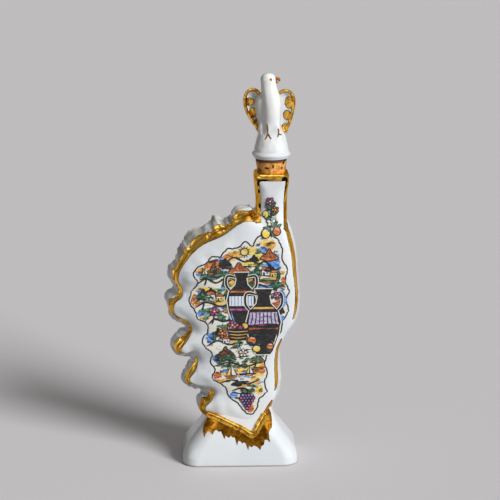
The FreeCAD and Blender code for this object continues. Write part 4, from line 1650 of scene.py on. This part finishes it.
def wash_panel(sheet, border):
    """Short horizontal brush strokes of thin colour all over the ground, richer towards its edge."""
    draw = random.Random(21)
    edge = Edge(border)
    spots = []
    while len(spots) < 300:
        x, z = draw.uniform(-36, 31), draw.uniform(38, 167)
        depth = edge.measure(np.array([(x, z)]))[0][0]
        if depth > 1.4:
            spots.append((x, z, depth))
    for x, z, depth in spots:
        wide = min(draw.uniform(3.0, 9.0), depth * 1.6 + 1.0)
        tall = min(draw.uniform(0.8, 2.2), depth * 0.6)
        near_edge = ("rust", "sky", "rust", "ochre", "sky", "yellow", "soil")
        middle = ("yellow", "ochre", "paper", "ochre", "leaf", "rust", "soil", "sky", "leaf", "dark", "pine")
        ink = draw.choice(near_edge if depth < 5.5 else middle)
        slim = 0.5 if ink in ("leaf", "soil", "dark", "pine") else 1.0
        shape = jagged(oval(x, z, wide * slim ** 0.5, tall * slim, draw.uniform(-0.3, 0.3), 16), 0.7, x)
        if inside(border, shape).all():
            sheet.layer += 0.0012
            sheet.fill(shape, ink)


patches = [                 # x, z, half width, half height, ink and turn of land and water
    (-26.5, 141.0, 4.6, 3.0, "sky", 0.3), (-16.0, 149.0, 6.0, 2.4, "sky", 0.4),
    (-2.0, 154.0, 5.5, 2.6, "ochre"), (20.0, 161.0, 4.2, 3.8, "ochre"), (24.3, 149.0, 3.0, 6.0, "sky"),
    (-31.5, 121.0, 3.2, 4.4, "rust", 0.2), (-27.0, 112.0, 3.4, 2.6, "sky"), (29.6, 121.0, 2.4, 5.4, "sky"),
    (26.8, 106.0, 2.4, 5.0, "sky", -0.4), (-21.5, 94.0, 3.4, 3.6, "sky"), (-17.5, 78.5, 2.6, 2.6, "sky"),
    (-16.5, 66.0, 3.0, 3.2, "rust"), (14.5, 71.0, 2.0, 5.0, "ochre"), (13.0, 55.5, 2.6, 3.4, "yellow"),
    (6.5, 41.5, 3.0, 2.8, "rust"), (-5.0, 51.5, 2.6, 2.8, "sky", -0.5), (16.5, 88.0, 2.2, 4.0, "sky", -0.3),
    (29.4, 134.0, 1.8, 3.6, "rust"), (0.0, 67.5, 14.0, 3.2, "sky"), (-22.0, 128.5, 8.0, 2.0, "ochre"),
    (4.0, 146.0, 10.0, 2.4, "yellow", 0.2),
]
contours = [                # drawn lines of hills and shores
    [(-30, 133), (-24, 137), (-17, 134), (-9, 138), (-2, 134)],
    [(-12, 147), (-5, 152), (3, 149), (9, 152)],
    [(6, 138), (12, 146), (17, 149), (23, 143), (28, 145)],
    [(-32, 116), (-24, 120), (-14, 117), (-7, 120)],
    [(6, 128), (14, 132), (22, 129), (28, 131)],
    [(-22.5, 104), (-18, 108), (-12, 106), (-5, 109)],
    [(-24, 88), (-16, 92), (-8, 89), (0, 92)],
    [(-19, 73), (-8, 76), (3, 73), (14, 76)],
    [(-14, 61), (-6, 63), (4, 60), (13, 63)],
    [(-6, 55), (1, 57), (8, 54)],
]
peaks = [                   # x, z, width, height and ink
    (-19.0, 139.0, 13.0, 8.5), (19.5, 150.5, 12.0, 7.5, "rust"), (-1.5, 140.5, 15.0, 8.0, "rust"),
    (-26.5, 122.5, 9.0, 6.5), (-11.0, 79.5, 13.0, 8.0), (12.0, 76.0, 8.0, 6.0, "rust"),
    (5.0, 99.5, 9.0, 7.0, "dark"), (-16.0, 96.5, 7.0, 4.5, "dark"), (27.0, 112.0, 6.0, 6.0, "dark"),
    (-11.0, 146.5, 8.0, 4.5, "dark"), (9.0, 149.5, 7.0, 4.0, "dark"), (20.0, 142.5, 7.0, 4.0, "dark"),
    (-21.0, 126.5, 7.0, 4.0, "dark"), (-3.0, 59.0, 7.0, 4.0, "dark"),
]
houses = [                  # x, z, width and wall
    (14.5, 139.0, 5.5), (20.8, 138.0, 4.2, "yellow"), (-24.0, 121.0, 6.0), (-17.0, 121.0, 4.6, "yellow"),
    (-12.5, 90.0, 4.5),
]
cypresses = [               # x, z and height
    (11.8, 138.5, 9.0), (26.2, 136.0, 8.5), (-9.5, 120.5, 9.5), (-6.8, 120.5, 7.5), (-18.5, 91.5, 7.0),
    (-14.5, 75.0, 6.0),
]
palms = [                   # x, z and height
    (-27.0, 114.0, 13.0), (-13.0, 131.0, 12.0), (-9.0, 72.0, 9.5), (23.5, 123.0, 12.0),
    (-20.0, 104.0, 11.0), (9.5, 71.5, 9.0), (-25.0, 132.0, 9.0), (8.0, 133.0, 10.0),
]
bushes = [                  # x, z and size
    (-1.0, 127.0, 2.8), (3.5, 129.5, 2.4), (-13.0, 109.0, 2.6), (-1.0, 90.0, 2.4), (23.5, 130.0, 2.0),
    (7.5, 131.0, 2.0), (-24.5, 108.0, 2.0), (3.0, 76.0, 1.8), (8.5, 58.0, 1.8),
]
boats = [(-7.0, 66.0, 8.5), (6.0, 67.5, 6.0), (-25.0, 140.0, 5.0)]      # x, z and size
wave_rows = [               # x, z and length
    (-13.0, 64.5, 6.0), (-3.0, 65.5, 6.0), (3.0, 65.5, 8.0), (-28.0, 138.5, 7.0),
]


def patch(sheet, x, z, wide, tall, ink, turn=0.0):
    """Ragged patch of one colour, just above the one before it."""
    sheet.layer += 0.001
    sheet.fill(jagged(oval(x, z, wide, tall, turn, 28), 1.0, x + z), ink)


def draw_ground(sheet, border):
    """Pale ground with patches of land and water, washes, contours, hills and pen strokes."""
    sheet.fill(border, "paper", 0.75)
    sheet.raise_layer()
    for place in patches:
        patch(sheet, *place)
    sheet.raise_layer()
    wash_panel(sheet, border)
    sheet.raise_layer()
    for line in contours:
        sheet.stroke(smooth_path(line, 6), 0.85, above=0.002)
    for place in peaks:
        peak(sheet, *place)
    hatch(sheet, border)


def draw_places(sheet):
    """Sun, houses, trees, boats and waves."""
    sun(sheet, 2.5, 156.0, 2.6)
    for place in houses:
        house(sheet, *place)
    sheet.raise_layer()
    kinds = ((cypress, cypresses), (palm, palms), (bush, bushes), (boat, boats), (waves, wave_rows))
    for draw, places in kinds:
        for place in places:
            draw(sheet, *place)


def draw_jars(sheet):
    """Two jars in the middle, with a basket, fruit, flowers and grapes round them."""
    sheet.raise_layer()
    bands = [(0.30, 0.34, "plum"), (0.39, 0.57, "white"), (0.64, 0.67, "rust")]
    jug(sheet, 0.4, 102.0, 39.0, bands, folds=(0.39, 0.57, "sky"), cross=False)
    sheet.raise_layer()
    bands = [(0.38, 0.41, "rust"), (0.46, 0.65, "lilac"), (0.70, 0.73, "ochre")]
    jug(sheet, 15.8, 82.0, 47.0, bands, folds=(0.46, 0.65, "line"), cross=True)
    sheet.raise_layer()
    basket(sheet, -2.0, 97.0, 15.0)
    sheet.raise_layer()
    fruit(sheet, 7.6, 92.0, 3.2, "rust")
    fruit(sheet, 11.0, 86.0, 2.8, "yellow", 0.9)
    fruit(sheet, 20.4, 87.5, 2.6, "rust")
    leaf(sheet, 9.0, 88.5, 2.6, 5.0, "pine")
    leaf(sheet, 17.0, 85.0, -0.3, 5.0, "pine")
    flower(sheet, -18.5, 113.5, 3.4, "plum")
    flower(sheet, -13.0, 97.5, 3.2, "rust", start=0.8)
    flower(sheet, -6.0, 103.5, 3.2, "plum", start=0.5)
    flower(sheet, 25.4, 124.5, 2.8, "plum", start=0.9)
    flower(sheet, 1.5, 83.0, 2.8, "white")
    grapes(sheet, 4.5, 51.5, 1.3)


def draw_print():
    """Vignette of hills by the sea, with fruit, flowers, grapes and jars."""
    sheet = Print()
    border = jagged(smooth_loop(panel, 3), 0.8, 4.0)
    draw_ground(sheet, border)
    draw_places(sheet)
    draw_jars(sheet)
    draw_sprig(sheet)
    return sheet


def draw_sprig(sheet):
    """Flowering branch that climbs from the vignette towards the neck."""
    stem = smooth_path([(21.5, 166.0), (20.5, 174.0), (21.5, 182.0), (20.5, 189.0)], 6)
    sheet.stroke(stem, 1.1, "pine")
    for x, z, angle, length in ((20.8, 170.5, 2.7, 5.6), (20.7, 173.0, 0.5, 6.0), (21.0, 177.5, 2.6, 6.0),
                                (21.4, 180.5, 0.5, 5.8), (21.2, 184.5, 2.5, 5.2), (20.9, 186.0, 0.7, 5.0)):
        leaf(sheet, x, z, angle, length)
    sheet.raise_layer()
    fruit(sheet, 17.4, 168.8, 2.9, "yellow", 1.1)
    fruit(sheet, 25.0, 170.0, 2.7, "rust")
    fruit(sheet, 17.6, 181.0, 2.1, "yellow", 1.1)
    flower(sheet, 21.2, 175.8, 3.0, "white")
    flower(sheet, 24.2, 184.0, 2.4, "rust", start=0.6)
    flower(sheet, 20.6, 190.0, 2.9, "plum", start=1.0)


def make_print(skin):
    """The vignette as a film on the front face, one material an ink."""
    sheet = draw_print()
    points, faces = join(sheet.parts)
    laid = lay_on(skin, points[:, :2], 0.0)
    laid[:, 1] -= points[:, 2]
    mesh = bpy.data.meshes.new("front_print")
    mesh.from_pydata((laid * MM).tolist(), [], faces)
    names = list(inks)
    made = new_object("front_print", mesh)
    for name, (colour, second) in inks.items():
        mesh.materials.append(make_ink("ink_" + name, colour, second))
    mesh.polygons.foreach_set("material_index", [names.index(ink) for ink in sheet.inks])
    turn_towards(mesh, -1)
    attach(made, "bottle")
    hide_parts("front_transfer")


# Setting

camera_place = (-38.4, -1299.2, 493.0)
camera_aim = (7.0, 0.0, 152.3)
camera_lens = 137.9
sun_way = (-0.65, 0.63, -0.49)          # from the right, the front and above
sun_power = 3.5
sun_spread = 25             # degrees across, for soft shadows
sun_colour = (0.98, 0.99, 1.0)
floor_half = 6e3
floor_seen = (0.748, 0.724, 0.736, 1.0)
floor_bounce = (0.38, 0.37, 0.37, 1.0)
room_colour = (0.88, 0.86, 0.84, 1.0)
room_seen = 0.585           # brightness of the room behind everything
room_mirrored = 0.30        # in gold and glaze, between the lights
room_fill = 0.12            # as light, beside the ceiling

# Soft lights of the room: direction, cosines where each is full and where it ends, strength
ceiling = ((-0.2, 0.1, 1.0), 0.95, 0.1, 0.12)
room_lights = [
    ((0.10, -0.30, 0.95), 0.97, 0.80, 1.7),
    ((0.85, -0.50, 0.20), 0.96, 0.82, 1.4),
    ((-0.80, -0.60, 0.10), 0.97, 0.84, 1.5),
]


def aim(made, way):
    """Turns a lamp or a camera to look along a direction."""
    made.rotation_euler = Vector(way).to_track_quat("-Z", "Y").to_euler()


def glow(tree, way, direction, full, end, strength):
    """Brightness of a soft light seen in one direction."""
    directions = {0: way, 1: Vector(direction).normalized()}
    facing = add(tree, "ShaderNodeVectorMath", directions, operation="DOT_PRODUCT").outputs["Value"]
    return calc(tree, "MULTIPLY", between(tree, facing, end, full), strength)


def set_world():
    """Dim room light. Gold and glaze mirror a grey room with soft lights above, right and left."""
    world = bpy.data.worlds.new("studio")
    bpy.context.scene.world = world
    world.use_nodes = True
    tree = world.node_tree
    ray = add(tree, "ShaderNodeLightPath", {})
    way = add(tree, "ShaderNodeTexCoord", {}).outputs["Generated"]
    mirrored = room_mirrored
    for light in room_lights:
        mirrored = calc(tree, "ADD", glow(tree, way, *light), mirrored)
    filled = calc(tree, "ADD", glow(tree, way, *ceiling), room_fill)
    glossy = ray.outputs["Is Glossy Ray"]
    strength = add(tree, "ShaderNodeMix", {0: glossy, 2: filled, 3: mirrored}).outputs[0]
    seen = calc(tree, "MAXIMUM", ray.outputs["Is Camera Ray"], ray.outputs["Is Transmission Ray"])
    strength = add(tree, "ShaderNodeMix", {0: seen, 2: strength, 3: room_seen}).outputs[0]
    background = tree.nodes["Background"]
    background.inputs["Color"].default_value = room_colour
    tree.links.new(strength, background.inputs["Strength"])


def make_floor():
    """Plain pale floor, which throws less light on the bottle than it seems to."""
    corners = [(x * floor_half, y * floor_half, 0) for x, y in ((-1, -1), (1, -1), (1, 1), (-1, 1))]
    floor = new_object("floor", new_mesh("floor", corners, [(0, 1, 2, 3)]))
    finish, tree, surface = new_finish("floor")
    ray = add(tree, "ShaderNodeLightPath", {})
    seen = calc(tree, "MAXIMUM", ray.outputs["Is Camera Ray"], ray.outputs["Is Glossy Ray"])
    seen = calc(tree, "MAXIMUM", seen, ray.outputs["Is Transmission Ray"])
    feed(tree, surface, Base_Color=blend_colours(tree, seen, floor_bounce, floor_seen), Roughness=0.9)
    floor.data.materials.append(finish)


def make_sun():
    """One soft key light, which gold and glaze don't mirror."""
    lamp = bpy.data.lights.new("key_light", "SUN")
    lamp.energy = sun_power
    lamp.angle = math.radians(sun_spread)
    lamp.color = sun_colour
    made = new_object("key_light", lamp)
    aim(made, sun_way)
    made.visible_glossy = False


def make_camera():
    """Camera at the photograph's angle."""
    camera = bpy.data.cameras.new("camera")
    camera.sensor_width = 36.0
    camera.lens = camera_lens
    made = new_object("camera", camera)
    place = Vector(camera_place) * MM
    made.location = place
    aim(made, Vector(camera_aim) * MM - place)
    bpy.context.scene.camera = made


def main():
    """Bottle, stopper and setting."""
    bead_gold = make_gold("bead_gold", metal=1.0, roughness=0.10, depth=0.05)
    brushed = make_gold("brushed_gold", metal=0.95, roughness=0.26, depth=0.3, tones=deep_gold_tones)
    brown = make_dark("brown_gold", (0.14, 0.058, 0.02), roughness=0.3)
    copper = make_dark("copper_gold", (0.42, 0.13, 0.03), roughness=0.14, metal=1.0)
    cork_pit = make_dark("cork_pit", (0.03, 0.010, 0.005), roughness=0.9)
    rods = rod_tree(bead_gold)
    flask = make_flask(make_gilded_glaze("flask_glaze", along_edge=True))
    foot = make_foot(make_glaze("foot_glaze"))
    make_beads(bead_gold, rods)
    make_fringe(brushed, skin_of(foot))
    make_print(skin_of(flask))
    make_cork_piece(make_cork(), cork_pit)
    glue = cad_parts["cork_glue"].data.materials
    glue.clear()
    glue.append(make_dark("glue", (0.02, 0.011, 0.008), roughness=0.35))
    dove = make_dove(make_glaze("finial_glaze", glaze_warm))
    wing_glaze = make_gilded_glaze("wing_glaze", glaze_warm, depth=0.15)
    make_wing("left", wing_glaze)
    make_wing("right", wing_glaze)
    make_dove_paint(copper, brown, rods, skin_of(dove))
    make_floor()
    make_sun()
    set_world()
    make_camera()
    bpy.context.scene.view_settings.view_transform = "Standard"


main()
